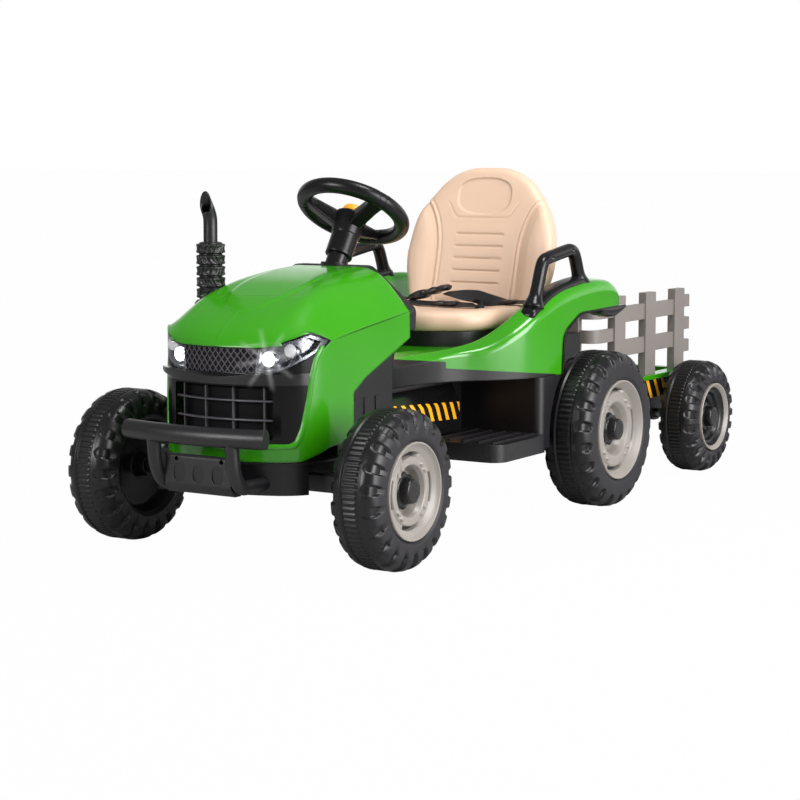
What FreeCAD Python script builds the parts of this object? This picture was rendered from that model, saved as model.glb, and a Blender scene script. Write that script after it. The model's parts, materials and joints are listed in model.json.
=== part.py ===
"""Battery ride-on tractor toy with a hitched farm trailer, as an assembly of separate pieces.

Frame: +X forward, +Y to the driver's left, +Z up, millimetres. The origin is on the ground, at the middle of
the overall length and width. Each section below builds one piece or one group of like pieces.
"""
import FreeCAD, Part
import math
import os
from FreeCAD import Vector as V

# Driving dimensions: running gear
wheelbase = 700.0
track = 508.0                 # tyre centre to tyre centre on the tractor's two axles
trailer_track = 468.0
front_tyre_r = 125.0
front_tyre_w = 84.0
rear_tyre_r = 141.0
rear_tyre_w = 94.0
trailer_tyre_r = 111.0
trailer_tyre_w = 80.0
axle_r = 6.0
bore_clearance = 0.2          # radial, between an axle and the wheel that turns on it
lug_height = 5.0
front_rim_r = 76.0
rear_rim_r = 89.0
trailer_rim_r = 67.0
hub_cap_r = 19.5
hub_flange_r = 29.5

# Driving dimensions: reach of the whole set, from the two tractor axles
front_reach = 188.0           # front axle to the front of the bumper bar
rear_reach = 596.0            # rear axle to the rear ends of the trailer's rails
trailer_axle_back = 480.0     # rear axle to trailer axle
hitch_back = 146.0            # rear axle to hitch pin

# Driving dimensions: bodywork
wall = 3.0                    # blow-moulded and injected panels alike
fit_gap = 0.3                 # between pieces that are drawn apart
nose_ahead = 106.0            # front axle to the nose at the centreline
hood_behind = 212.0           # front axle to the hood's rear edge
nose_half = 147.0             # half width of the nose at the front axle
hood_rear_half = 155.0        # half width of the hood at its rear edge
hood_rear_z = 450.0           # top of the hood at its rear edge
lip_z = 341.0                 # front edge of the hood at the centreline
tip_z = 348.0                 # rear tip of the headlamps
parting_rear_z = 381.0        # hood parting line at the rear edge
band_z = 283.0                # underside of the fascia's projecting band
grille_low_z = 192.0          # bottom of the fascia
nose_low_z = 163.0            # bottom of the green nose at the centreline
deck_z = 163.0                # top of the front chassis deck
skirt_low_z = 112.0           # bottom of the black skirt under the nose

board_z = 150.0               # top of the footboards
board_low_z = 120.0
board_half = 250.0
board_ahead = 358.0           # rear axle to the footboards' front edge
box_behind = 128.0            # rear axle to the back of that box
box_half = 150.0
box_low_z = 122.0
box_top_z = 247.0
console_half = 75.0

deck_top_z = 300.0            # green seat deck
fender_half = 236.0           # outer face of the rear fenders
fender_tail = 142.0           # rear axle to the fenders' rear edge
seat_half = 155.0
seat_low_z = 326.0
seat_top_z = 611.0
seat_front = 287.0            # rear axle to the seat's front edge
seat_recline = 14.0           # degrees

steer_tilt = 32.0             # steering axis from the vertical, degrees
steer_x_ahead = 418.0         # rear axle to the steering wheel's centre
steer_z = 536.0
steer_rim_r = 85.0            # middle of the rim's tube
steer_tube_r = 13.0
kingpin_half = 185.0
steer_arm = 45.0              # knuckle arm, and the crank on the steering shaft
rod_z = 113.0                 # height of the tie rod

# Stations that follow from them
rear_axle_x = (rear_reach - wheelbase - front_reach) / 2
front_axle_x = rear_axle_x + wheelbase
trailer_axle_x = rear_axle_x - trailer_axle_back
hitch_x = rear_axle_x - hitch_back
nose_x = front_axle_x + nose_ahead
hood_rear_x = front_axle_x - hood_behind
steer_x = rear_axle_x + steer_x_ahead
tilt = math.radians(steer_tilt)
steer_up = V(-math.sin(tilt), 0, math.cos(tilt))       # along the column, towards the driver
steer_fore = V(math.cos(tilt), 0, math.sin(tilt))      # in the wheel's plane, forward and up
steer_centre = V(steer_x, 0, steer_z)
Y_AXIS = V(0, 1, 0)
Z_AXIS = V(0, 0, 1)


# Geometry helpers
def on_xy(z):
    return lambda u, v: V(u, v, z)


def on_xz(y):
    return lambda u, v: V(u, y, v)


def on_yz(x):
    return lambda u, v: V(x, u, v)


def rounded_wire(corners, place):
    """Closed outline through corners (u, v, radius): straight sides, with a tangent arc at each radius."""
    count = len(corners)
    turns = []
    for i, (u, v, radius) in enumerate(corners):
        here = V(u, v, 0)
        back = (V(*corners[i - 1][:2], 0) - here).normalize()
        ahead = (V(*corners[(i + 1) % count][:2], 0) - here).normalize()
        if not radius:
            turns.append((here, None, here))
            continue
        half = back.getAngle(ahead) / 2
        reach = radius / math.tan(half)
        towards = (back + ahead).normalize()
        middle = here + towards * (radius / math.sin(half) - radius)
        turns.append((here + back * reach, middle, here + ahead * reach))
    edges = []
    for i, (start, middle, end) in enumerate(turns):
        if middle:
            edges.append(Part.Arc(*[place(p.x, p.y) for p in (start, middle, end)]).toShape())
        following = turns[(i + 1) % count][0]
        if end.distanceToPoint(following) > 1e-6:
            edges.append(Part.LineSegment(place(end.x, end.y), place(following.x, following.y)).toShape())
    return Part.Wire(edges)


def sharp(points):
    return [(u, v, 0) for u, v in points]


def rectangle(u0, u1, v0, v1, radius):
    return [(u0, v0, radius), (u1, v0, radius), (u1, v1, radius), (u0, v1, radius)]


def prism_xy(corners, z0, z1):
    return Part.Face(rounded_wire(corners, on_xy(z0))).extrude(V(0, 0, z1 - z0))


def prism_xz(corners, y0, y1):
    return Part.Face(rounded_wire(corners, on_xz(y0))).extrude(V(0, y1 - y0, 0))


def prism_yz(corners, x0, x1):
    return Part.Face(rounded_wire(corners, on_yz(x0))).extrude(V(x1 - x0, 0, 0))


def box(x0, x1, y0, y1, z0, z1):
    return Part.makeBox(x1 - x0, y1 - y0, z1 - z0, V(x0, y0, z0))


def rod(start, end, radius):
    return Part.makeCylinder(radius, (end - start).Length, start, end - start)


def turned(profile):
    """Solid of revolution about the Y axis through the origin, from corners (y, r, radius)."""
    face = Part.Face(rounded_wire([(r, y, f) for y, r, f in profile], lambda r, y: V(0, y, r)))
    return face.revolve(V(0, 0, 0), Y_AXIS, 360)


def swept_tube(points, bends, radius):
    """Round bar along straight runs joined by tangent arcs; bends gives each inner point's arc radius."""
    edges = []
    start = points[0]
    for here, bend, following in zip(points[1:-1], bends, points[2:]):
        back = (start - here).normalize()
        ahead = (following - here).normalize()
        half = back.getAngle(ahead) / 2
        reach = bend / math.tan(half)
        towards = (back + ahead).normalize()
        first = here + back * reach
        last = here + ahead * reach
        edges.append(Part.LineSegment(start, first).toShape())
        edges.append(Part.Arc(first, here + towards * (bend / math.sin(half) - bend), last).toShape())
        start = last
    edges.append(Part.LineSegment(start, points[-1]).toShape())
    path = Part.Wire(edges)
    ring = Part.Wire(Part.makeCircle(radius, points[0], points[1] - points[0]))
    return path.makePipeShell([ring], True, False)


def mirrored(shape):
    return shape.mirror(V(0, 0, 0), Y_AXIS)


def pair(shape):
    """The shape on the left and its mirror image on the right, as two separate solids."""
    return Part.makeCompound([shape, mirrored(shape)])


def moved(shape, x, y, z):
    copy = shape.copy()
    copy.translate(V(x, y, z))
    return copy


nodes = {}


def from_rear(distance):
    """X of a point so far ahead of the rear axle."""
    return rear_axle_x + distance


def from_front(distance):
    """X of a point so far ahead of the front axle."""
    return front_axle_x + distance


def around_y(shape, count, start=0.0):
    """Copies of a shape turned evenly about the Y axis through the origin."""
    copies = []
    for i in range(count):
        copy = shape.copy()
        copy.rotate(V(0, 0, 0), Y_AXIS, start + 360.0 * i / count)
        copies.append(copy)
    return copies


# Wheels, drawn about the origin with +Y outboard: a hollow tyre moulded in one with its web and hub
web_out = -10.0               # outer face of the web, from the tyre's middle plane
web_t = 5.0
hub_face = -4.0               # outer end of the moulded hub
hub_inset = 4.0               # inner end of the hub, inside the tyre's inner face
hub_r = 20.0
tyre_wall = 5.0
shoulder_r = 16.0
bead = 8.0
lug_count = 22
lug_gap = 11.0
band_half_w = 10.0            # the ribbed band round the middle of the tread
plate_t = 3.0
rim_depth = 12.0              # outer lip to the flat ring of the disc
slot_w = 4.5
slot_sweep = 46.0
bolt_r = 3.8
bolt_h = 5.0
bolt_apart = 8.0              # degrees from the middle of a pair
ring_w = 9.0                  # face of the trailer wheels' ring
cap_flange_t = 12.0
cap_length = 27.0
nut_r = 7.6
nut_t = 7.0
wheel_bore_r = axle_r + bore_clearance


def tyre(radius, width, rim_r):
    half = width / 2
    carcass = radius - lug_height
    body = turned([
        (hub_face, wheel_bore_r, 0), (hub_face, hub_r, 0), (web_out, hub_r, 0),
        (web_out, rim_r + fit_gap, 0), (half - hub_inset, rim_r + fit_gap, 0), (half, rim_r + bead, 0),
        (half, carcass, shoulder_r), (-half, carcass, shoulder_r), (-half, rim_r + bead, 0),
        (hub_inset - half, rim_r, 0), (web_out - web_t, rim_r - bead, 0), (web_out - web_t, hub_r, 0),
        (hub_inset - half, hub_r - 4, 0), (hub_inset - half, wheel_bore_r, 0)])
    inner = half - tyre_wall
    low = rim_r + bead
    high = carcass - tyre_wall
    hollow = turned([(inner, low, 0), (inner, high, shoulder_r - tyre_wall),
                     (-inner, high, shoulder_r - tyre_wall), (-inner, low, 0)])
    vent_at = V(0, -half - 1, (low + high) / 2)
    vent = rod(vent_at, vent_at + V(0, tyre_wall + 4, 0), 2.5)
    reach = half + 1
    lug_ring = turned([(band_half_w + 2, carcass - 4, 0), (band_half_w + 2, radius, 0),
                       (reach - 8, radius, 0), (reach, radius - 9, 0), (reach, carcass - shoulder_r - 3, 0),
                       (half - 3, carcass - shoulder_r - 3, 0), (half - 3, carcass - 12, 0),
                       (half - 12, carcass - 4, 0)])
    gap = box(-lug_gap / 2, lug_gap / 2, 0, reach + 2, carcass - 40, radius + 5)
    lugs_out = lug_ring.cut(Part.makeCompound(around_y(gap, lug_count)))
    lugs_in = mirrored(lugs_out)
    lugs_in.rotate(V(0, 0, 0), Y_AXIS, 180.0 / lug_count)
    band = turned([(band_half_w, carcass - 2, 0), (band_half_w, carcass + 2.5, 0),
                   (-band_half_w, carcass + 2.5, 0), (-band_half_w, carcass - 2, 0)])
    return body.cut(hollow).cut(vent).fuse([lugs_out, lugs_in, band])


def rim(rim_r, width):
    """Pressed-look disc: lip, slope, flat ring with four curved slots and four pairs of bolt heads, sunk centre."""
    edge = width / 2 + 0.5
    face = edge - rim_depth
    centre = hub_face + plate_t
    slot_out = rim_r - 18
    slot_in = slot_out - slot_w
    bowl_r = hub_flange_r + 10
    dish = turned([
        (centre, wheel_bore_r, 0), (centre, hub_flange_r + 2, 0), (face, bowl_r, 0), (face, slot_out, 0),
        (edge - 3, rim_r - 6, 0), (edge, rim_r - 4, 0), (edge, rim_r, 0), (web_out, rim_r, 0),
        (web_out, rim_r - plate_t, 0), (face - plate_t, rim_r - plate_t, 0), (face - plate_t, bowl_r + 2, 0),
        (hub_face, hub_flange_r + 4, 0), (hub_face, wheel_bore_r, 0)])
    start = V(0, face - plate_t - 1, 0)
    slot = Part.makeCylinder(slot_out, plate_t + 2, start, Y_AXIS, slot_sweep)
    slot = slot.cut(Part.makeCylinder(slot_in, plate_t + 2, start, Y_AXIS))
    bolt = rod(V(0, face - 1, slot_in - bolt_r), V(0, face + bolt_h, slot_in - bolt_r), bolt_r)
    bolts = around_y(bolt, 4, 45 - bolt_apart) + around_y(bolt, 4, 45 + bolt_apart)
    return dish.cut(Part.makeCompound(around_y(slot, 4, -slot_sweep / 2))).fuse(bolts)


def rim_ring(rim_r, width):
    """Plain bright ring of the trailer wheels, lining the seat in the tyre."""
    edge = width / 2 + 2.0
    lip = rim_r - ring_w
    return turned([(web_out, rim_r - 4, 0), (edge - 7, rim_r - 4, 0), (edge - 7, lip, 0), (edge - 2, lip, 0),
                   (edge, lip + 4, 0), (edge, rim_r, 0), (web_out, rim_r, 0)])


def hub_cap(seat):
    """Snap-on cap: scalloped flange and a round-nosed barrel over the axle end; seat is its back face."""
    step = seat + cap_flange_t
    nose = step + cap_length
    cap = turned([(seat, nut_r + 0.6, 0), (seat, hub_flange_r, 0), (step - 3, hub_flange_r, 0),
                  (step, hub_flange_r - 4, 0), (step, hub_cap_r, 0), (nose, hub_cap_r - 2, 5),
                  (nose, 0, 0), (nose - 6, 0, 0), (nose - 6, nut_r + 0.6, 0)])
    scallop_r = 7.0
    notch = rod(V(0, seat - 1, hub_flange_r + 3), V(0, step + 1, hub_flange_r + 3), scallop_r)
    return cap.cut(Part.makeCompound(around_y(notch, 8)))


cap_seat = hub_face + plate_t
front_hub_inner = hub_inset - front_tyre_w / 2
rear_hub_inner = hub_inset - rear_tyre_w / 2
trailer_hub_inner = hub_inset - trailer_tyre_w / 2


def add_wheel(name, pieces, x, y, z):
    """Set a wheel's pieces on its axle; wheels on the right are mirror images."""
    for piece, shape in pieces.items():
        placed = moved(shape, 0, abs(y), 0)
        if y < 0:
            placed = mirrored(placed)
        nodes[name + "_" + piece] = moved(placed, x, 0, z)


front_wheel = {"tyre": tyre(front_tyre_r, front_tyre_w, front_rim_r),
               "rim": rim(front_rim_r, front_tyre_w), "hub_cap": hub_cap(cap_seat)}
rear_wheel = {"tyre": tyre(rear_tyre_r, rear_tyre_w, rear_rim_r),
              "rim": rim(rear_rim_r, rear_tyre_w), "hub_cap": hub_cap(cap_seat)}
trailer_wheel = {"tyre": tyre(trailer_tyre_r, trailer_tyre_w, trailer_rim_r),
                 "rim": rim_ring(trailer_rim_r, trailer_tyre_w), "hub_cap": hub_cap(hub_face)}
for side, sign in (("left", 1), ("right", -1)):
    add_wheel("front_" + side, front_wheel, front_axle_x, sign * track / 2, front_tyre_r)
    add_wheel("rear_" + side, rear_wheel, rear_axle_x, sign * track / 2, rear_tyre_r)
    add_wheel("trailer_" + side, trailer_wheel, trailer_axle_x, sign * trailer_track / 2, trailer_tyre_r)


def axle_end(start_y, wheel_y, x, z, seat):
    """Axle from start_y outwards through a wheel at wheel_y, with the nut that keeps the wheel on."""
    face = wheel_y + seat + fit_gap
    stub = rod(V(x, start_y, z), V(x, face + nut_t + 4, z), axle_r)
    return stub.fuse(rod(V(x, face, z), V(x, face + nut_t, z), nut_r))


# Front axle: a moulded beam with a fork at each end, and the two knuckles that turn on its kingpins
kingpin_r = 4.0
barrel_r = 13.0
barrel_half = 27.0
ear_t = 7.0
ear_r = 15.0
beam_half_x = 12.0
beam_half_z = 13.0
rod_t = 6.0
rod_pin_r = 4.0
eye_r = 9.0
axle_z = front_tyre_r
ear_top = axle_z + barrel_half + fit_gap
ear_low = axle_z - barrel_half - fit_gap
web_y = kingpin_half - barrel_r - 8.0
beam = box(from_front(-beam_half_x), from_front(beam_half_x), -web_y, web_y,
           axle_z - beam_half_z, axle_z + beam_half_z)
for sign in (1, -1):
    y_pin = sign * kingpin_half
    for z0 in (ear_top, ear_low - ear_t):
        disc = Part.makeCylinder(ear_r, ear_t, V(front_axle_x, y_pin, z0))
        tongue = box(from_front(-ear_r), from_front(ear_r), min(y_pin, sign * (web_y - 8)),
                     max(y_pin, sign * (web_y - 8)), z0, z0 + ear_t)
        hole = Part.makeCylinder(kingpin_r, ear_t + 2, V(front_axle_x, y_pin, z0 - 1))
        beam = beam.fuse([disc, tongue]).cut(hole)
    post = box(from_front(-beam_half_x), from_front(beam_half_x), min(sign * (web_y - 8), sign * web_y),
               max(sign * (web_y - 8), sign * web_y), ear_low, ear_top)
    pad = box(from_front(-20), from_front(20), sign * 60 - 18, sign * 60 + 18, axle_z, deck_z - wall)
    beam = beam.fuse([post, pad])
nodes["front_axle_beam"] = beam.removeSplitter()

pins = []
for sign in (1, -1):
    shank = Part.makeCylinder(kingpin_r, ear_top - ear_low + 2 * ear_t, V(front_axle_x, sign * kingpin_half,
                                                                           ear_low - ear_t))
    head = Part.makeCylinder(kingpin_r + 3, 4, V(front_axle_x, sign * kingpin_half, ear_top + ear_t))
    pins.append(shank.fuse(head).removeSplitter())

arm_z0 = rod_z + rod_t / 2 + fit_gap
arm_t = 6.0
arm_x = front_axle_x - steer_arm


def knuckle():
    """Left knuckle: barrel, wheel axle with its shoulder, and the steering arm with its pin."""
    barrel = Part.makeCylinder(barrel_r, 2 * barrel_half, V(front_axle_x, kingpin_half, axle_z - barrel_half))
    shoulder_y = track / 2 + front_hub_inner - fit_gap
    shoulder = rod(V(front_axle_x, kingpin_half, axle_z), V(front_axle_x, shoulder_y, axle_z), 10)
    axle = axle_end(kingpin_half, track / 2, front_axle_x, axle_z, cap_seat)
    arm = prism_xy([(front_axle_x, kingpin_half - barrel_r, 0), (front_axle_x, kingpin_half + barrel_r, 0),
                    (arm_x - eye_r, kingpin_half + eye_r, eye_r - 0.5),
                    (arm_x - eye_r, kingpin_half - eye_r, eye_r - 0.5)], arm_z0, arm_z0 + arm_t)
    pin = Part.makeCylinder(rod_pin_r, rod_t + arm_t + 3, V(arm_x, kingpin_half, rod_z - rod_t / 2 - 3))
    bore = Part.makeCylinder(kingpin_r + 0.1, 2 * barrel_half + 2,
                             V(front_axle_x, kingpin_half, axle_z - barrel_half - 1))
    return barrel.fuse([shoulder, axle, arm, pin]).cut(bore).removeSplitter()


nodes["knuckle_left"] = knuckle()
nodes["knuckle_right"] = mirrored(nodes["knuckle_left"])


# Steering: wheel, shaft with its crank, and the tie rod that the crank pin pushes from side to side
def on_column(shape):
    """Place a shape drawn about the wheel's centre: local Z up the column, local X forward."""
    shape.rotate(V(0, 0, 0), Y_AXIS, -steer_tilt)
    shape.translate(steer_centre)
    return shape


def down_column(z):
    """Local height on the column's axis at which the axis reaches height z."""
    return (z - steer_z) / math.cos(tilt)


shaft_r = 6.0
hub_top = -8.0
hub_low = -46.0
steer_hub_r = 29.0
sleeve_r = 23.0
sleeve_low = -86.0
column_r = 18.0
column_low = down_column(hood_rear_z - 22)
horn_r = 19.0
horn_travel = 3.0
horn_seat = 7.0               # depth of the button in its pocket at rest
horn_pocket = horn_seat + horn_travel + 0.5
crank_t = 8.0
crank_r = 10.0
crank_pin_r = 4.0
crank_top = down_column(deck_z - wall) - 8.0
crank_low = crank_top - crank_t
pin_low = crank_low - 17.0

rim_tube = Part.makeTorus(steer_rim_r, steer_tube_r)
hub = Part.makeCylinder(steer_hub_r, hub_top - hub_low, V(0, 0, hub_low))
sleeve = Part.makeCylinder(sleeve_r, hub_low - sleeve_low, V(0, 0, sleeve_low))
spoke = prism_xz(sharp([(12, hub_low + 8), (steer_rim_r - 6, -9), (steer_rim_r, 6), (steer_rim_r - 10, 6),
                        (24, hub_top), (12, hub_top)]), -12, 12)
wheel = rim_tube.fuse([hub, sleeve])
for angle in (62, -62, 180):
    turned_spoke = spoke.copy()
    turned_spoke.rotate(V(0, 0, 0), Z_AXIS, angle)
    wheel = wheel.fuse(turned_spoke)
wheel = wheel.cut(Part.makeCylinder(shaft_r + 0.05, 80, V(0, 0, sleeve_low - 1)))
wheel = wheel.cut(Part.makeCylinder(horn_r + fit_gap, horn_pocket, V(0, 0, hub_top - horn_pocket)))
nodes["steering_wheel"] = on_column(wheel.removeSplitter())

horn = Part.makeCylinder(horn_r, 2 * horn_seat, V(0, 0, hub_top - horn_seat))
horn = horn.makeFillet(4, [horn.Edges[0]])
nodes["horn_button"] = on_column(horn)

shaft_top = hub_top - horn_pocket - 1
shaft = Part.makeCylinder(shaft_r, shaft_top - crank_low, V(0, 0, crank_low))
crank = prism_xy([(crank_r, -crank_r, crank_r - 0.5), (crank_r, crank_r, crank_r - 0.5),
                  (-steer_arm - crank_r, crank_r, crank_r - 0.5),
                  (-steer_arm - crank_r, -crank_r, crank_r - 0.5)], crank_low, crank_top)
crank_pin = Part.makeCylinder(crank_pin_r, crank_low - pin_low + 2, V(-steer_arm, 0, pin_low))
nodes["steering_shaft"] = on_column(shaft.fuse([crank, crank_pin]).removeSplitter())

column = Part.makeCylinder(column_r, sleeve_low - fit_gap - column_low, V(0, 0, column_low))
column = column.cut(Part.makeCylinder(shaft_r + fit_gap, 400, V(0, 0, column_low - 1)))
nodes["steering_column"] = on_column(column)

crank_down = down_column(rod_z + steer_arm * math.sin(tilt))
crank_x = (steer_centre - steer_fore * steer_arm + steer_up * crank_down).x
slot_half_y = crank_pin_r + fit_gap
slot_half_x = crank_pin_r / math.cos(tilt) + 3.5
rod_half_t = rod_t / 2
bar = box(arm_x - 7, arm_x + 7, -kingpin_half, kingpin_half, rod_z - rod_half_t, rod_z + rod_half_t)
tongue = prism_xy([(crank_x - slot_half_x - 7, -14, 6), (arm_x, -14, 0), (arm_x, 14, 0),
                   (crank_x - slot_half_x - 7, 14, 6)], rod_z - rod_half_t, rod_z + rod_half_t)
tie_rod = bar.fuse(tongue)
for sign in (1, -1):
    at = V(arm_x, sign * kingpin_half, rod_z - rod_half_t)
    tie_rod = tie_rod.fuse(Part.makeCylinder(eye_r, rod_t, at))
    eye_gap = 0.1 if sign > 0 else fit_gap
    tie_rod = tie_rod.cut(Part.makeCylinder(rod_pin_r + eye_gap, rod_t + 2, at - Z_AXIS))
slot = box(crank_x - slot_half_x, crank_x + slot_half_x, -slot_half_y, slot_half_y, rod_z - 9, rod_z + 9)
nodes["tie_rod"] = tie_rod.cut(slot).removeSplitter()


across = 400.0                # half length of tools that cut right across the body

# Nose outline in plan, shared by the hood, nose shell, fascia, lamps and front chassis
corner_ahead = 80.0           # front axle to the point where the bowed front meets the corner curve
corner_half = 105.0


def nose_block(inset, z0, z1, rear_x):
    """Upright block on the nose's plan outline, moved inwards by inset, from rear_x to the bowed front."""
    slope = (hood_rear_half - nose_half) / hood_behind
    side_x = from_front(5)
    start_x = min(rear_x, side_x - 20)
    rear_y = nose_half + slope * (front_axle_x - start_x) - inset
    side = V(side_x, nose_half - inset, z0)
    bend = V(from_front(50) - 0.6 * inset, nose_half - 12 - 0.8 * inset, z0)
    corner = V(from_front(corner_ahead) - 0.75 * inset, corner_half - 0.7 * inset, z0)
    front = V(nose_x - inset, 0, z0)

    def other(p):
        return V(p.x, -p.y, p.z)

    rear = V(start_x, rear_y, z0)
    edges = [Part.LineSegment(rear, side).toShape(),
             Part.Arc(side, bend, corner).toShape(),
             Part.Arc(corner, front, other(corner)).toShape(),
             Part.Arc(other(corner), other(bend), other(side)).toShape(),
             Part.LineSegment(other(side), other(rear)).toShape(),
             Part.LineSegment(other(rear), rear).toShape()]
    block = Part.Face(Part.Wire(edges)).extrude(V(0, 0, z1 - z0))
    return block.common(box(rear_x, nose_x + 100, -across, across, z0, z1))


def nose_ring(outer, inner, z0, z1, rear_x):
    """Wall between two insets of the nose outline, open at the rear."""
    return nose_block(outer, z0, z1, rear_x).cut(nose_block(inner, z0 - 1, z1 + 1, rear_x - 1))


def side_cut(corners):
    return prism_xz(corners, -across, across)


# Side-view lines where the hood, the green nose shell and the black fascia meet
tip_x = from_front(5)
lip_x = from_front(92)
lamp_top_x = from_front(46)
lamp_top_z = 363.0
front_x = nose_x + 60
fascia_line = sharp([(tip_x, tip_z), (lamp_top_x, lamp_top_z), (from_front(70), lamp_top_z - 9),
                     (lip_x, lip_z), (front_x, lip_z), (front_x, grille_low_z), (from_front(75), grille_low_z),
                     (from_front(68), grille_low_z + 5), (from_front(61), grille_low_z + 27),
                     (from_front(53), band_z - 19), (from_front(49), band_z + 9),
                     (from_front(42), band_z + 37), (from_front(27), tip_z - 13)])
hood_cover_x = hood_rear_x - 12
hood_zone = sharp([(hood_cover_x, parting_rear_z + fit_gap), (tip_x, tip_z + fit_gap),
                   (lip_x, lip_z + fit_gap), (front_x, lip_z + fit_gap), (front_x, 600), (hood_cover_x, 600)])
arch_x = from_front(-54)
nose_zone = sharp([(hood_cover_x, parting_rear_z), (tip_x, tip_z), (lip_x, lip_z), (front_x, lip_z),
                   (front_x, nose_low_z), (from_front(61), nose_low_z + 2), (from_front(12), nose_low_z + 20),
                   (arch_x, nose_low_z + 25), (arch_x, tip_z - 86), (arch_x - 33, tip_z - 65),
                   (hood_cover_x, tip_z - 7)])

# Hood: lofted from trapezoid sections (place, crest half width, drop of the crest, drop of the shoulder)
hood_stations = [(-222, 70, 0, 69), (-140, 74, 7, 78), (-70, 84, 20, 88), (0, 96, 43, 99),
                 (50, 106, 70, 106), (100, 112, 108, 134)]
crown = 3.5
crest_r = 55.0
shoulder_half = 160.0


def hood_loft(inset):
    sections = []
    for ahead, crest, drop, shoulder_drop in hood_stations:
        crest_z = hood_rear_z - drop - crown - inset
        low = lip_z - 60
        shoulder_z = hood_rear_z - shoulder_drop - inset
        side = shoulder_half - inset
        outline = [(-side, low, 0), (-side, shoulder_z, 14), (-crest, crest_z, crest_r), (0, crest_z + crown, 300),
                   (crest, crest_z, crest_r), (side, shoulder_z, 14), (side, low, 0)]
        sections.append(rounded_wire(outline, on_yz(from_front(ahead))))
    return Part.makeLoft(sections, True, False)


hood_outer = hood_loft(0)
hood_body = nose_block(0, lip_z - 30, 600, hood_rear_x).common(hood_outer)
hood_inner = nose_block(wall, lip_z - 31, 600, hood_rear_x - 1).common(hood_loft(wall))
scoop_rear = from_front(-137)
scoop_front = from_front(-38)
scoop = box(scoop_rear, scoop_front, 76, 98, lip_z, hood_rear_z + 10)
scoop_depth = 6.0
hood = hood_body
for side_tool in (scoop, mirrored(scoop)):
    room = side_tool.BoundBox
    surround = box(room.XMin - wall, room.XMax + wall, room.YMin - wall, room.YMax + wall, lip_z, hood_rear_z)
    hood_inner = hood_inner.cut(surround.cut(moved(hood_outer, 0, 0, -scoop_depth - wall)))
    hood = hood.cut(side_tool.cut(moved(hood_outer, 0, 0, -scoop_depth)))
hood = hood.cut(hood_inner).common(side_cut(hood_zone)).cut(side_cut(fascia_line))
column_hole = on_column(Part.makeCylinder(column_r + 1, 400, V(0, 0, sleeve_low - 400)))
nodes["hood"] = hood.cut(column_hole)

# Green nose shell: the sides below the parting line and the lip under the grille, in one moulding
shell = nose_ring(0, wall, nose_low_z, parting_rear_z + 5, hood_rear_x)
nodes["nose_shell"] = shell.common(side_cut(nose_zone)).cut(side_cut(fascia_line))

# Fascia: black nose moulding with lamp windows, mesh panel, projecting band and the grille opening
fascia_t = 4.0
lamp_inner_y = 63.0
grille_half = 93.0
grille_top_z = band_z - 3
band_t = 17.0
band_out = 8.0
lamp_low_z = band_z + band_t
lamp_zone_line = sharp([(tip_x + 6, tip_z), (lamp_top_x, lamp_top_z - 4), (from_front(72), lamp_top_z - 13),
                        (lip_x, lip_z - 3), (front_x, lip_z - 3), (front_x, lamp_low_z),
                        (from_front(86), lamp_low_z), (from_front(60), lamp_low_z + 18),
                        (from_front(32), lamp_low_z + 34)])
lamp_zone = side_cut(lamp_zone_line)


def between_lamps(outset):
    """Wedge between the two headlamps' inner edges, moved outwards by outset."""
    low = lamp_inner_y + outset
    return prism_yz(sharp([(-low - 9, lip_z + 5), (low + 9, lip_z + 5), (low, band_z), (-low, band_z)]),
                    tip_x - 50, front_x)


inner_wedge = between_lamps(0)
lamp_zone = lamp_zone.cut(inner_wedge)


def grille_zone(inset, rear, low_r, top_r):
    """Block on the outline of the opening under the band, moved inwards by inset."""
    half = grille_half - inset
    low = grille_low_z + 4 + inset
    top = grille_top_z - inset
    return prism_yz([(-half, low, low_r), (half, low, low_r), (half, top, top_r), (-half, top, top_r)],
                    rear, front_x)


grille_window = grille_zone(0, tip_x - 50, 10, 6)
fascia = nose_ring(fit_gap, fascia_t, grille_low_z - 5, lamp_top_z + 5, tip_x - 5)
fascia = fascia.common(side_cut(fascia_line)).cut(lamp_zone).cut(grille_window)
band = nose_ring(-band_out, 1, band_z, band_z + band_t, from_front(66))
band_taper = side_cut(sharp([(from_front(66), band_z + band_t), (from_front(66), band_z + 12),
                             (nose_x + band_out + 1, band_z), (nose_x + band_out + 1, band_z + 11),
                             (nose_x, band_z + band_t)]))
fascia = fascia.fuse(band.common(band_taper))
mesh_rib_t = 1.8
mesh_pitch = 11.0
mesh_lean = 38.0
mesh_depth = 2.5              # the mesh lies this far behind the fascia's face
mesh_mid_z = (lamp_low_z + lip_z) / 2
mesh_ribs = []
rib_wall = nose_ring(1.0, mesh_depth + 0.5, lamp_low_z, lip_z - 2, from_front(60)).common(inner_wedge)
for lean in (mesh_lean, -mesh_lean):
    for i in range(-9, 10):
        bar = box(from_front(50), nose_x + 2, -mesh_rib_t / 2, mesh_rib_t / 2, -60, 60)
        bar.rotate(V(0, 0, 0), V(1, 0, 0), lean)
        mesh_ribs += moved(bar, 0, i * mesh_pitch, mesh_mid_z).common(rib_wall).Solids
recess = nose_ring(-1, mesh_depth, lamp_low_z + 1, lip_z - 3, from_front(60)).common(inner_wedge)
fascia = fascia.cut(recess).fuse(mesh_ribs)
nodes["fascia"] = fascia

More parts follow.
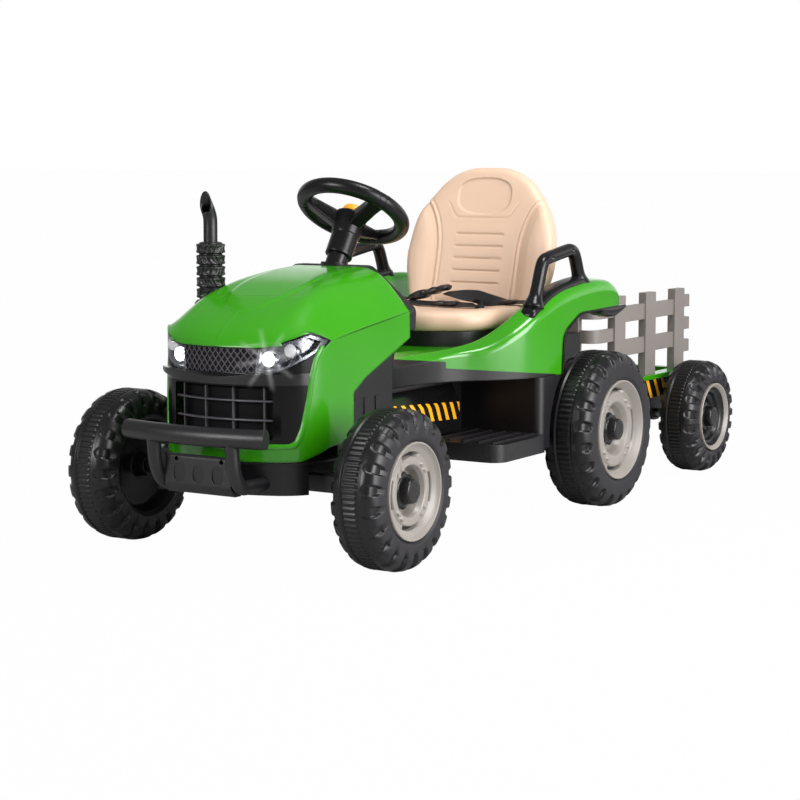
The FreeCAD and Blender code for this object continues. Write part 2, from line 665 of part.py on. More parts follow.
# Lower grille insert: two curved cross bars and three thin uprights in a frame, on a closed back
grille_depth = 16.0
insert_half = grille_half - fit_gap
insert_low = grille_low_z + 4 + fit_gap
insert_top = grille_top_z - fit_gap
frame_w = 4.0
insert_zone = grille_zone(fit_gap, tip_x, 10, 6)
hollow_zone = grille_zone(fit_gap + frame_w, tip_x, 6, 4)
insert = nose_ring(2, grille_depth, insert_low - 1, insert_top + 1, tip_x).common(insert_zone)
insert_room = nose_ring(-5, grille_depth - wall, insert_low - 1, insert_top + 1, tip_x)
insert = insert.cut(insert_room.common(hollow_zone))
grille_bars = []
bar_wall = nose_ring(3, 9, insert_low, insert_top, tip_x).common(hollow_zone)
opening_h = insert_top - insert_low
for i in (1, 2):
    z = insert_low + opening_h * i / 3
    grille_bars.append(bar_wall.common(box(tip_x, front_x, -across, across, z - 3, z + 3)))
for i in (-1, 0, 1):
    y = i * insert_half / 2
    grille_bars.append(bar_wall.common(box(tip_x, front_x, y - 2, y + 2, 0, 400)))
nodes["lower_grille"] = insert.fuse(grille_bars).removeSplitter()

# Headlamps: clear wrap-round lenses over bright reflectors, each reflector with its two lamp domes
lens_t = 2.0
lens = nose_ring(fit_gap, lens_t + fit_gap, band_z, lamp_top_z, tip_x).common(lamp_zone)
nodes["headlamp_lenses"] = Part.makeCompound(lens.Solids)
reflector = nose_ring(14, 17, band_z, lamp_top_z, tip_x)
flange = nose_ring(lens_t + 2 * fit_gap, 17, band_z, lamp_top_z, tip_x)
lamp_core = side_cut(sharp([(tip_x + 22, tip_z), (lamp_top_x + 2, lamp_top_z - 8),
                            (from_front(72), lamp_top_z - 17), (lip_x, lip_z - 7), (front_x, lip_z - 7),
                            (front_x, lamp_low_z + 4), (from_front(86), lamp_low_z + 4),
                            (from_front(60), lamp_low_z + 22), (from_front(36), lamp_low_z + 37)]))
lamp_core = lamp_core.cut(between_lamps(4))
bowl_room = nose_ring(-1, 14, band_z - 1, lamp_top_z + 1, tip_x - 1).common(lamp_core)
bowl = flange.common(lamp_zone).cut(bowl_room)
lamp_r = 11.0
domes = []
for ahead, y, z in ((84, 84, lamp_low_z + 20), (66, 112, lamp_low_z + 32)):
    domes.append(Part.makeSphere(lamp_r, V(from_front(ahead) - 12, y, z)).common(
        nose_block(5, band_z, lamp_top_z, tip_x - 20)))
bowls = []
for solid in bowl.Solids:
    if solid.CenterOfMass.y > 0:
        bowls.append(solid.fuse(domes).removeSplitter())
nodes["headlamp_reflectors"] = Part.makeCompound([s for b in bowls for s in (b, mirrored(b))])


# Front chassis: deck over the axle, skirt round the nose, and the black engine sides below the hood
engine_half = 121.0
skirt_inset = 6.0
engine_front_x = arch_x + 4
deck_rear_x = from_front(-100)
chassis = nose_block(wall + fit_gap, deck_z - wall, deck_z, deck_rear_x)
chassis = chassis.common(box(deck_rear_x, front_x, -across, across, 0, 400))
skirt = nose_ring(skirt_inset, skirt_inset + wall, skirt_low_z, deck_z, from_front(45))
engine_line = sharp([(hood_rear_x, board_z), (from_front(-100), board_z), (engine_front_x, deck_z - wall),
                     (engine_front_x, tip_z - 82), (engine_front_x - 33, tip_z - 58),
                     (hood_rear_x, tip_z + 2)])
for sign in (1, -1):
    near = sign * (engine_half - wall)
    far = sign * engine_half
    plate = prism_xz(engine_line, near, far)
    ribs = [box(hood_rear_x + 40 + 34 * i, hood_rear_x + 52 + 34 * i, min(near, far + sign * 2),
                max(near, far + sign * 2), board_z + 40, board_z + 95) for i in range(3)]
    chassis = chassis.fuse([plate] + ribs)
shaft_hole = on_column(Part.makeCylinder(shaft_r + fit_gap, 700, V(0, 0, -700)))
nodes["front_chassis"] = chassis.fuse(skirt).cut(shaft_hole).removeSplitter()

# Bumper: a bowed bar on two bent legs, and the ribbed plate between them
bumper_r = 15.0
bumper_z = 210.0
bumper_half = 130.0
bumper_end_back = 17.0        # how far the bar's ends lie behind its middle
leg_half = 74.0
leg_r = 11.0
plate_half = leg_half - leg_r - fit_gap
plate_low = 116.0
plate_top = 178.0
bar_front_x = front_axle_x + front_reach
bar_x = bar_front_x - bumper_r
ends = [V(bar_x - bumper_end_back, sign * bumper_half, bumper_z) for sign in (1, -1)]
bow = Part.Wire(Part.Arc(ends[0], V(bar_x, 0, bumper_z), ends[1]).toShape())
tangent = bow.Edges[0].tangentAt(bow.Edges[0].FirstParameter)
bar = bow.makePipeShell([Part.Wire(Part.makeCircle(bumper_r, ends[0], tangent))], True, False)
plate_x = nose_x + 44
leg_top_x = bar_x - bumper_end_back * (leg_half / bumper_half) ** 2
legs = []
for sign in (1, -1):
    y = sign * leg_half
    legs.append(swept_tube([V(leg_top_x, y, bumper_z), V(leg_top_x - 6, y, plate_low + 40),
                            V(plate_x - 6, y, plate_low + 14), V(nose_x - 46, y, plate_low + 14)],
                           [60, 20], leg_r))
bumper = bar.fuse(legs)
plate = prism_xz([(plate_x - 22, plate_low, 0), (plate_x - 6, plate_low, 4), (plate_x + 4, plate_low + 14, 6),
                  (plate_x, plate_top, 6), (plate_x - 22, plate_top - 6, 0)], -plate_half, plate_half)
for y in (-0.58, 0, 0.58):
    oval = prism_yz([(y * plate_half - 10, plate_low + 18, 9.5), (y * plate_half + 10, plate_low + 18, 9.5),
                     (y * plate_half + 10, plate_top - 16, 9.5), (y * plate_half - 10, plate_top - 16, 9.5)],
                    plate_x + 1, plate_x + 20)
    plate = plate.cut(oval)
screw_y = plate_half - 20
plate_screw_r = 3.5
for sign in (1, -1):
    plate = plate.cut(rod(V(plate_x - 30, sign * screw_y, plate_top - 9),
                          V(plate_x + 10, sign * screw_y, plate_top - 9), plate_screw_r))
inner_bar = box(plate_x - 20, plate_x - 10, -leg_half, leg_half, plate_low + 8, plate_low + 22)
bumper = bumper.fuse(inner_bar)
skirt_clear = nose_block(skirt_inset - fit_gap, skirt_low_z - 1, deck_z, from_front(40))
nodes["bumper_bar"] = bumper.cut(skirt_clear).removeSplitter()
bar_slot = box(plate_x - 24, plate_x - 10 + fit_gap, -leg_half, leg_half,
               plate_low + 8 - fit_gap, plate_low + 22 + fit_gap)
nodes["bumper_plate"] = plate.cut(bar_slot).cut(nose_block(-fit_gap, 0, 400, from_front(40)))

# Exhaust: ribbed stack on the right of the hood, with a bent pipe cut on the slant
stack_x = from_front(-42)
stack_y = -118.0
stack_r = 23.0
stack_neck_r = 19.0
ring_pitch = 18.0
stack_top = 492.0
pipe_r = 11.3
pipe_top = 564.0
base = Part.makeCylinder(stack_r + 5, 60, V(stack_x, stack_y, stack_top - 130))
rings = 6
profile = [V(0, 0, stack_top - 110), V(stack_neck_r, 0, stack_top - 110)]
for i in range(rings):
    low = stack_top - (rings - i) * ring_pitch
    profile += [V(stack_neck_r, 0, low + 2), V(stack_r, 0, low + 5), V(stack_r, 0, low + ring_pitch - 3),
                V(stack_neck_r, 0, low + ring_pitch)]
profile += [V(0, 0, stack_top), V(0, 0, stack_top - 110)]
stack = Part.Face(Part.makePolygon(profile)).revolve(V(0, 0, 0), Z_AXIS, 360)
stack = moved(stack, stack_x, stack_y, 0).fuse(base.common(moved(hood_outer, 0, 0, 9)))
stack = stack.cut(moved(hood_outer, 0, 0, fit_gap))
pipe_bend = 30.0
pipe_run = [V(stack_x, stack_y, pipe_top - 26), V(stack_x + 26, stack_y, pipe_top + 14)]
pipe = swept_tube([V(stack_x, stack_y, stack_top)] + pipe_run, [pipe_bend], pipe_r)
bore = swept_tube([V(stack_x, stack_y, stack_top + 20)] + pipe_run, [pipe_bend], pipe_r - 2.2)
slant = box(stack_x + pipe_r + 1, stack_x + 90, stack_y - 30, stack_y + 30, pipe_top - 60, pipe_top + 60)
nodes["exhaust"] = stack.fuse(pipe.cut(slant)).cut(bore).removeSplitter()

# Floor pan: footboards with their ribs and skirt, and the floor that runs forward under the hood
pillar_front = 183.0          # rear axle to the front face of the box under the seat
floor_t = 4.0
neck_half = 121.0


def floor_block(inset, z0, z1):
    rear = from_rear(pillar_front) + inset
    step = from_rear(board_ahead) - inset
    front = deck_rear_x - inset
    wide = board_half - inset
    narrow = neck_half - inset
    return prism_xy([(rear, -wide, 20), (step, -wide, 28), (step, -narrow, 0), (front, -narrow, 0),
                     (front, narrow, 0), (step, narrow, 0), (step, wide, 28), (rear, wide, 20)], z0, z1)


floor = floor_block(0, board_low_z, board_z).cut(floor_block(floor_t, board_low_z - 1, board_z - floor_t))
tread_h = 2.5
tread_ribs = []
for i in range(5):
    y = console_half + 40 + 28 * i
    for sign in (1, -1):
        tread_ribs.append(box(from_rear(pillar_front + 14), from_rear(board_ahead - 14),
                              sign * y - 3, sign * y + 3, board_z - 1, board_z + tread_h))
pedal_y = -172.0
pedal_half = 30.0
pedal_pin_x = from_rear(236)
pedal_pin_z = board_z + 9
pedal_pin_r = 3.0
ears = []
for sign in (1, -1):
    y = pedal_y + sign * (pedal_half + 4.3)
    ear = prism_xz([(pedal_pin_x - 9, board_z - 1, 0), (pedal_pin_x + 9, board_z - 1, 0),
                    (pedal_pin_x + 7, pedal_pin_z + 7, 5), (pedal_pin_x - 7, pedal_pin_z + 7, 5)],
                   y - 4, y + 4)
    ear_hole = rod(V(pedal_pin_x, y - 5, pedal_pin_z), V(pedal_pin_x, y + 5, pedal_pin_z), pedal_pin_r + 0.1)
    ears.append(ear.cut(ear_hole))
pedal_well = box(pedal_pin_x - 12, pedal_pin_x + 100, pedal_y - pedal_half - 0.2, pedal_y + pedal_half + 0.2,
                 board_z, board_z + 30)
nodes["floor_pan"] = floor.fuse(tread_ribs).cut(pedal_well).fuse(ears).removeSplitter()

# Accelerator pedal, hinged at the heel on trunnions in the floor's ears
pedal_len = 82.0
pedal_rise = 20.0             # degrees at rest
slab = prism_xz([(0, -3, 0), (pedal_len, -3, 5), (pedal_len, 5, 3), (0, 5, 0)], -pedal_half, pedal_half)
treads = [box(18 + 14 * i, 23 + 14 * i, -pedal_half + 6, pedal_half - 6, 4, 7) for i in range(5)]
barrel = rod(V(0, -pedal_half, 0), V(0, pedal_half, 0), 6)
trunnion = rod(V(0, -pedal_half - 8, 0), V(0, pedal_half + 8, 0), pedal_pin_r)
pedal = slab.fuse(treads + [barrel, trunnion]).removeSplitter()
pedal.rotate(V(0, 0, 0), Y_AXIS, -pedal_rise)
nodes["accelerator_pedal"] = moved(pedal, pedal_pin_x, pedal_y, pedal_pin_z)

# Console: black tunnel between the footwells, with the ledge that the green deck stands on
ledge_half = 108.0
ledge_t = 7.0
console_front_x = hood_rear_x - 18
ledge_low = box_top_z - ledge_t
pillar_x = from_rear(pillar_front)
console_outer = box(pillar_x, console_front_x, -console_half, console_half, board_z, ledge_low)
console_inner = box(pillar_x - 1, console_front_x - wall, wall - console_half, console_half - wall,
                    board_z - 1, ledge_low)
ledge = prism_yz([(-ledge_half, ledge_low, 2), (ledge_half, ledge_low, 2), (ledge_half, box_top_z, 0),
                  (-ledge_half, box_top_z, 0)], pillar_x, console_front_x)
nodes["console"] = console_outer.cut(console_inner).fuse(ledge).removeSplitter()

# Box under the seat: holds battery and gearboxes; its front pillars reach out ahead of the rear wheels
pillar_half = 234.0
pillar_back = 110.0
wheel_room = 9.0


def box_block(inset, z0, z1):
    back = from_rear(-box_behind) + inset
    front = from_rear(pillar_front) - inset
    step = from_rear(pillar_back) + inset
    narrow = box_half - inset
    wide = pillar_half - inset
    block = prism_xy([(back, -narrow, 0), (step, -narrow, 0), (step, -wide, 0), (front, -wide, 14),
                      (front, wide, 14), (step, wide, 0), (step, narrow, 0), (back, narrow, 0)], z0, z1)
    for sign in (1, -1):
        start = V(rear_axle_x, sign * (track / 2 - rear_tyre_w / 2 - wheel_room - inset), rear_tyre_r)
        block = block.cut(rod(start, start + V(0, sign * 120, 0), rear_tyre_r + wheel_room + inset))
    return block


axle_boss_r = 14.0
deck_low_z = deck_top_z - wall


def box_tower(inset, z0, z1):
    """Narrow upper part of the box, up to the underside of the deck."""
    return box(from_rear(-box_behind) + inset, from_rear(pillar_back) - inset,
               inset - box_half, box_half - inset, z0, z1)


outside = box_block(0, box_low_z, box_top_z).fuse(box_tower(0, box_low_z + wall, deck_low_z))
inside = box_block(wall, box_low_z - 1, box_top_z - wall).fuse(box_tower(wall, box_low_z, deck_low_z - wall))
seat_box = outside.cut(inside)
boss_hole = rod(V(rear_axle_x, -across, rear_tyre_r), V(rear_axle_x, across, rear_tyre_r),
                axle_boss_r + fit_gap)
nodes["seat_box"] = seat_box.cut(boss_hole).removeSplitter()


# Rear body: green deck and fenders in one shell, lofted from the dash back to the fender tails.
# Each station: distance ahead of the rear axle, deck half width, inner and outer crest (y, z), radius
dash_rear_x = hood_rear_x - 18
body_stations = [(None, 70, (92, -6), (106, -16), 5), (345, 78, (102, -3), (118, -12), 6),
                 (290, 96, (128, 4), (150, -4), 9), (250, 116, (158, 20), (188, 8), 14),
                 (215, 138, (176, 44), (212, 32), 16), (178, 154, (184, 68), (226, 56), 18),
                 (120, 161, (187, 90), (234, 82), 20), (40, 163, (188, 103), (236, 97), 20),
                 (-40, 163, (188, 108), (236, 103), 20), (-95, 163, (188, 104), (235, 100), 20),
                 (-128, 163, (188, 88), (230, 84), 16), (-fender_tail, 163, (190, 72), (224, 68), 10)]
deck_bend_r = 12.0


def body_loft(inset):
    sections = []
    last = len(body_stations) - 1
    for i, (ahead, deck, inner, outer, round_r) in enumerate(body_stations):
        x = dash_rear_x - inset if ahead is None else from_rear(ahead + (inset if i == last else 0))
        top = deck_top_z - inset
        low = box_top_z - (1 if inset else 0)
        half = outer[0] - inset
        bend_r = deck_bend_r * (1 if i > 2 else 0.4)
        right = [(deck + inset * 0.5, top, bend_r), (inner[0] + inset * 0.6, top + inner[1], round_r),
                 (half, top + outer[1], round_r), (half, low, 0)]
        left = [(-y, z, r) for y, z, r in reversed(right)]
        sections.append(rounded_wire(left + right, on_yz(x)))
    return Part.makeLoft(sections, True, False, False, 2)


body_outer = body_loft(0)
tail_x = from_rear(-fender_tail)
arch_front = 112.0
tail_under_z = 355.0
trim_t = 4.0


def arch_region(inset, y0, y1):
    """Wheel arch in side view: front edge above the pillar, sweep over the wheel, then nearly level."""
    front = from_rear(arch_front - inset)
    return prism_xz([(front, box_top_z - 40, 0), (front - 9, tail_under_z - 34 - inset, 34),
                     (from_rear(40), tail_under_z - 3 - inset, 60), (tail_x - 20, tail_under_z - inset, 0),
                     (tail_x - 20, box_top_z - 40, 0)], y0, y1)


rear_x = from_rear(-box_behind)
body_shell = body_outer.cut(body_loft(wall))
arch = arch_region(0, box_half, across)
body_shell = body_shell.cut(arch).cut(mirrored(arch))
body_shell = body_shell.cut(box(tail_x - 20, rear_x, -across, across, 0, tail_under_z))
rear_panel = box(rear_x - wall, rear_x, -box_half, box_half, box_top_z, deck_top_z)
nodes["rear_body"] = body_shell.fuse(rear_panel).removeSplitter()

# Black edge trims and liners under the fenders
lip_out = 2.0
liner_y = box_half + 32.0     # the liner's roof starts outside the fender's sloping inner wall
band_line = arch_region(0, box_half + fit_gap, fender_half + lip_out)
band_line = band_line.cut(arch_region(trim_t, box_half, fender_half + 10))
front_leg = band_line.common(box(tail_x, from_rear(arch_front), 0, across, box_top_z, deck_low_z - fit_gap))
roof = band_line.common(box(tail_x, from_rear(arch_front), liner_y, across, box_top_z, 500))
trim = front_leg.fuse(roof).removeSplitter()
nodes["fender_trims"] = pair(trim)

# Armrests: bent grab bars on base pads that follow the fender crests
arm_y = 208.0
arm_r = 11.0
pad_half = 14.0
pad_t = 7.0
arm_pad = prism_xy(rectangle(from_rear(-46), from_rear(200), arm_y - pad_half, arm_y + pad_half, pad_half - 1),
                   deck_top_z, deck_top_z + 150)
arm_pad = arm_pad.common(moved(body_outer, 0, 0, pad_t)).cut(moved(body_outer, 0, 0, fit_gap))
grip = swept_tube([V(from_rear(158), arm_y, deck_top_z + 82), V(from_rear(132), arm_y, deck_top_z + 147),
                   V(from_rear(18), arm_y, deck_top_z + 163), V(from_rear(-10), arm_y, deck_top_z + 106)],
                  [24, 28], arm_r)
grip = grip.cut(moved(body_outer, 0, 0, fit_gap))
nodes["armrests"] = pair(max(arm_pad.fuse(grip).Solids, key=lambda s: s.Volume))


# Seat: moulded shell with bolsters, five cross channels in the back, a shallow dished pan
def pan_outline(inset):
    front = from_rear(seat_front) - inset
    half = seat_half - 2 - inset
    rear = from_rear(-14) + inset
    widest = from_rear(120)
    return [(rear, -half + 24, 22), (widest, -half, 220), (front - 52, -half + 14, 80), (front, -58, 80),
            (front, 58, 80), (front - 52, half - 14, 80), (widest, half, 220), (rear, half - 24, 22)]


pan_t = 34.0
pan_top = seat_low_z + pan_t
back_t = 44.0
back_base_x = from_rear(30)
back_base_z = seat_low_z + 14
back_h = (seat_top_z - back_base_z) / math.cos(math.radians(seat_recline))
pan = prism_xy(pan_outline(0), seat_low_z, pan_top)
top_edges = [e for e in pan.Edges if abs(e.BoundBox.ZMin - pan_top) < 0.01 and e.BoundBox.ZLength < 0.01]
pan = pan.makeFillet(11, top_edges)
dish_r = 900.0
pan = pan.cut(Part.makeSphere(dish_r, V(from_rear(150), 0, pan_top + dish_r - 8)))


def back_outline(inset):
    half = seat_half - inset
    top = back_h - inset
    return [(-half + 24, inset, 14), (half - 24, inset, 14), (half + 1, 100, 160), (half - 12, 190, 160),
            (70, top, 110), (-70, top, 110), (12 - half, 190, 160), (-half - 1, 100, 160)]


def front_edges(shape, x):
    """Edges of a shape that lie in the plane at x."""
    return [e for e in shape.Edges if abs(e.BoundBox.XMin - x) < 0.01 and e.BoundBox.XLength < 0.01]


panel_depth = 7.0             # the side bolsters stand this far ahead of the middle
bolster_y = 90.0
bolster_top = back_h - 55
bolster_round = 6.0
back = prism_yz(back_outline(0), -back_t, -panel_depth)
back = back.makeFillet(12, front_edges(back, -panel_depth))
bolster = prism_yz([(bolster_y + 2, 4, 10), (seat_half - 25, 4, 14), (seat_half, 100, 160),
                    (seat_half - 13, 190, 120), (bolster_y + 38, bolster_top, 8), (bolster_y - 2, 160, 60)],
                   -back_t, 0)
bolster = bolster.makeFillet(bolster_round, front_edges(bolster, 0))
back = back.fuse([bolster, mirrored(bolster)])
channel_r = 4.0
channel_half = 51.0
channel_low = 58.0
channel_pitch = 23.0
for i in range(5):
    h = channel_low + channel_pitch * i
    back = back.cut(rod(V(-panel_depth + 1, -channel_half, h), V(-panel_depth + 1, channel_half, h), channel_r))
blank_low = back_h - 90
blank_mid = back_h - 53
blank_top = back_h - 24
blank = prism_yz([(-40, blank_low, 10), (40, blank_low, 10), (55, blank_mid, 14), (36, blank_top, 12),
                  (-36, blank_top, 12), (-55, blank_mid, 14)], -panel_depth - 2, 0)
back = back.cut(blank)
back.rotate(V(0, 0, 0), Y_AXIS, -seat_recline)
back.translate(V(back_base_x, 0, back_base_z))
nodes["seat"] = pan.fuse(back).removeSplitter()

# Black riser between the deck and the seat
riser_inset = 9.0
riser = prism_xy(pan_outline(riser_inset), deck_top_z - 10, seat_low_z)
riser = riser.cut(prism_xy(pan_outline(riser_inset + 6), deck_top_z - 11, seat_low_z - wall))
nodes["seat_riser"] = riser.cut(moved(body_outer, 0, 0, 0.05))

# Lap belt: two webbing straps that come up the seat's sides and over its edge to a side-release buckle
strap_w = 25.0
strap_t = 2.0
strap_x = from_rear(74)
pan_top = seat_low_z + pan_t
belt_side = seat_half - 6.0   # just outside the pan's side where the straps pass it
strap_z = pan_top + 0.4
buckle_y = -52.0
buckle_half = 29.0
buckle_half_x = 19.0
buckle_t = 12.0
buckle_low = pan_top + fit_gap


def strap_to(buckle_end):
    """Strap on the left: up the pan's side, over its rounded edge and flat across to the buckle's end."""
    inner = [(belt_side, pan_top - 20), (belt_side, pan_top - 8), (belt_side - 3, pan_top - 2.2),
             (belt_side - 9.8, strap_z), (buckle_end, strap_z)]
    outer = [(belt_side + strap_t, pan_top - 20), (belt_side + strap_t, pan_top - 7.5),
             (belt_side - 1.6, pan_top - 0.8), (belt_side - 9.2, strap_z + strap_t),
             (buckle_end, strap_z + strap_t)]
    return prism_yz(sharp(inner + outer[::-1]), strap_x - strap_w / 2, strap_x + strap_w / 2)


buckle = prism_xy(rectangle(strap_x - buckle_half_x, strap_x + buckle_half_x,
                            buckle_y - buckle_half, buckle_y + buckle_half, 5),
                  buckle_low, buckle_low + buckle_t)
for sign in (1, -1):
    prong_in = strap_x + sign * (buckle_half_x - 7)
    prong_out = strap_x + sign * (buckle_half_x + 6)
    prong = prism_xy(sharp([(prong_in, buckle_y - 18), (prong_out, buckle_y - 14), (prong_out, buckle_y + 12),
                            (prong_in, buckle_y + 18)]), buckle_low - 1, buckle_low + buckle_t + 1)
    buckle = buckle.cut(prong)
left_strap = strap_to(buckle_y + buckle_half)
right_strap = mirrored(strap_to(buckle_half - buckle_y))
nodes["lap_belt"] = Part.makeCompound([left_strap, right_strap, buckle])

# Dashboard: black panel that closes the back of the hood, with the column's boss and switch recesses
dash_t = 18.0
dash_corner_y = hood_rear_half - 1
dash_right = [(104, box_top_z, 0), (engine_half - 1, tip_z - 10, 0), (dash_corner_y, tip_z, 4),
              (dash_corner_y + 2, parting_rear_z + 1, 14), (71, hood_rear_z + 0.5, 24)]
dash_left = [(-y, z, r) for y, z, r in reversed(dash_right)]
dash = prism_yz(dash_right + dash_left, dash_rear_x, dash_rear_x + dash_t - fit_gap)
button_y = 62.0
button_z = 400.0
button_r = 9.0
rocker_y = -62.0
rocker_half_y = 9.0
rocker_half_z = 14.0
button_hole = rod(V(dash_rear_x - 1, button_y, button_z), V(dash_rear_x + 11, button_y, button_z),
                  button_r + fit_gap)
rocker_hole = box(dash_rear_x - 1, dash_rear_x + 12,
                  rocker_y - rocker_half_y - fit_gap, rocker_y + rocker_half_y + fit_gap,
                  button_z - rocker_half_z - 1.5, button_z + rocker_half_z + 1.5)
dash = dash.cut(button_hole).cut(rocker_hole)
boss = on_column(Part.makeCylinder(column_r + 6, 26, V(0, 0, column_low - 4)))
boss = boss.cut(box(dash_rear_x + dash_t - fit_gap, front_x, -across, across, 0, 700))
column_seat = on_column(Part.makeCylinder(column_r + 0.05, 400, V(0, 0, sleeve_low - 400)))
dash = dash.fuse(boss).cut(column_seat)
nodes["dashboard"] = dash.removeSplitter()
button = rod(V(dash_rear_x - 3, button_y, button_z), V(dash_rear_x + 8, button_y, button_z), button_r)
nodes["power_button"] = button
rocker = prism_xz([(-4.5, -rocker_half_z, 2), (3, 1 - rocker_half_z, 0), (7, 0, 0), (3, rocker_half_z - 1, 0),
                   (-4.5, rocker_half_z, 2), (-2, 0, 0)], -rocker_half_y, rocker_half_y)
nodes["direction_rocker"] = moved(rocker, dash_rear_x, rocker_y, button_z)

# Drive: one dead axle, a gearbox with its motor at each rear wheel, battery and control module in the box
hub_side = track / 2 + rear_hub_inner - fit_gap
left_half = axle_end(0, track / 2, rear_axle_x, rear_tyre_r, cap_seat)
nodes["rear_axle"] = left_half.fuse(mirrored(left_half)).removeSplitter()
gearbox_t = 38.0
gear_y = box_half - wall - fit_gap
case = prism_xz([(-42, -12, 10), (78, -12, 26), (78, 50, 26), (-42, 40, 26)], gear_y - gearbox_t, gear_y)
case = case.fuse(rod(V(0, gear_y - 5, 0), V(0, hub_side, 0), axle_boss_r))
case = case.cut(rod(V(0, 0, 0), V(0, across, 0), axle_r + 0.05))
motor_r = 19.0
motor_end = V(46, gear_y - gearbox_t, 18)
motor_len = V(0, 58, 0)
motor_nose = V(0, 64, 0)
motor = rod(motor_end - motor_len, motor_end, motor_r).fuse(rod(motor_end - motor_nose, motor_end, 6))
case = moved(case, rear_axle_x, 0, rear_tyre_r)
motor = moved(motor, rear_axle_x, 0, rear_tyre_r)
nodes["gearmotors"] = Part.makeCompound([case, mirrored(case), motor, mirrored(motor)])
tray_z = deck_low_z - wall
battery = prism_xy(rectangle(from_rear(-118), from_rear(-53), -76, 76, 4), tray_z - 95, tray_z)
module_top = box_top_z - wall
module = prism_xy(rectangle(from_rear(118), from_rear(165), -45, 45, 4), module_top - 30, module_top)
nodes["battery"] = battery
nodes["control_module"] = module

# Hitch: tongue plate on the back of the box, and the drop-in pin just ahead of the trailer's bed
bed_low = 150.0
drawbar_t = 16.0
frame_low = bed_low - drawbar_t
hitch_z = frame_low - fit_gap             # top of the tongue plate
hitch_t = 6.0
hitch_pin_r = 6.0
tongue_half = 26.0
tongue_end = hitch_x - 20
hitch_tongue = prism_xy([(rear_x, -tongue_half, 0), (rear_x, tongue_half, 0), (tongue_end, tongue_half - 6, 16),
                         (tongue_end, 6 - tongue_half, 16)], hitch_z - hitch_t, hitch_z)
hitch_flange = box(rear_x - wall, rear_x, -40, 40, hitch_z - hitch_t, hitch_z + 40)
pin_hole = Part.makeCylinder(hitch_pin_r, 40, V(hitch_x, 0, hitch_z - 20))
nodes["hitch_bracket"] = hitch_tongue.fuse(hitch_flange).cut(pin_hole).removeSplitter()
pin_low_z = hitch_z - hitch_t - 12
pin_head_z = bed_low + fit_gap
hitch_pin = Part.makeCylinder(hitch_pin_r, pin_head_z + 3 - pin_low_z, V(hitch_x, 0, pin_low_z))
hitch_pin = hitch_pin.fuse(Part.makeCylinder(hitch_pin_r + 5, 6, V(hitch_x, 0, pin_head_z)))
nodes["pivot_pins"] = Part.makeCompound(pins + [hitch_pin.removeSplitter()])

# Trailer bed: green tray with a flanged rim and a ribbed floor
bed_front = from_rear(-163)
bed_rear = rear_axle_x - rear_reach + 22
bed_half = 172.0
bed_top = 197.0
bed_floor = 160.0
bed_rim = 22.0                # width of the rim that the fence posts stand on
flange_out = 6.0


def bed_block(outset, radius, z0, z1, ends=0.0):
    """Upright block on the bed's outline: its sides moved out by outset, its ends by ends."""
    half = bed_half + outset
    return prism_xy(rectangle(bed_rear - ends, bed_front + ends, -half, half, radius), z0, z1)


bed = bed_block(0, 8, bed_low, bed_top).fuse(bed_block(flange_out, 8, bed_top - 9, bed_top))
bed = bed.cut(bed_block(-bed_rim, 6, bed_floor, bed_top + 1, -bed_rim))
floor_ribs = [box(bed_rear + bed_rim + 1, bed_front - bed_rim - 1, y - 4, y + 4, bed_floor - 1, bed_floor + 3)
              for y in (-112, -56, 0, 56, 112)]
nodes["trailer_bed"] = bed.fuse(floor_ribs).removeSplitter()

# Trailer frame: spine under the bed that narrows to the hitch eye, cross piece and axle brackets
bracket_y = 140.0
bracket_t = 14.0
spine_half = 34.0
taper_x = bed_front - 50
eye_half = 12.0
spine = box(trailer_axle_x - 60, taper_x, -spine_half, spine_half, frame_low, bed_low)
drawbar = prism_xy([(taper_x, -spine_half, 0), (hitch_x + eye_half, -eye_half, eye_half - 0.5),
                    (hitch_x + eye_half, eye_half, eye_half - 0.5), (taper_x, spine_half, 0)],
                   frame_low, bed_low)
cross = box(trailer_axle_x - 40, trailer_axle_x + 40, -bracket_y, bracket_y, frame_low, bed_low)
frame_pieces = [drawbar, cross]
for sign in (1, -1):
    y = sign * bracket_y
    bracket = prism_xz([(-40, bed_low, 0), (-16, trailer_tyre_r - 14, 12), (16, trailer_tyre_r - 14, 12),
                        (40, bed_low, 0)], y - bracket_t / 2, y + bracket_t / 2)
    frame_pieces.append(moved(bracket, trailer_axle_x, 0, 0))
frame = spine.fuse(frame_pieces)
frame = frame.cut(Part.makeCylinder(hitch_pin_r + bore_clearance, 60, V(hitch_x, 0, frame_low - 20)))
axle_hole = rod(V(trailer_axle_x, -across, trailer_tyre_r), V(trailer_axle_x, across, trailer_tyre_r),
                axle_r + 0.05)
nodes["trailer_frame"] = frame.cut(axle_hole).removeSplitter()

# Trailer axle, with a collar on each side between bracket and wheel
trailer_left = axle_end(0, trailer_track / 2, trailer_axle_x, trailer_tyre_r, hub_face)
collar = rod(V(trailer_axle_x, bracket_y + bracket_t / 2, trailer_tyre_r),
             V(trailer_axle_x, trailer_track / 2 + trailer_hub_inner - fit_gap, trailer_tyre_r), axle_r + 3)
trailer_left = trailer_left.fuse(collar)
nodes["trailer_axle"] = trailer_left.fuse(mirrored(trailer_left)).removeSplitter()

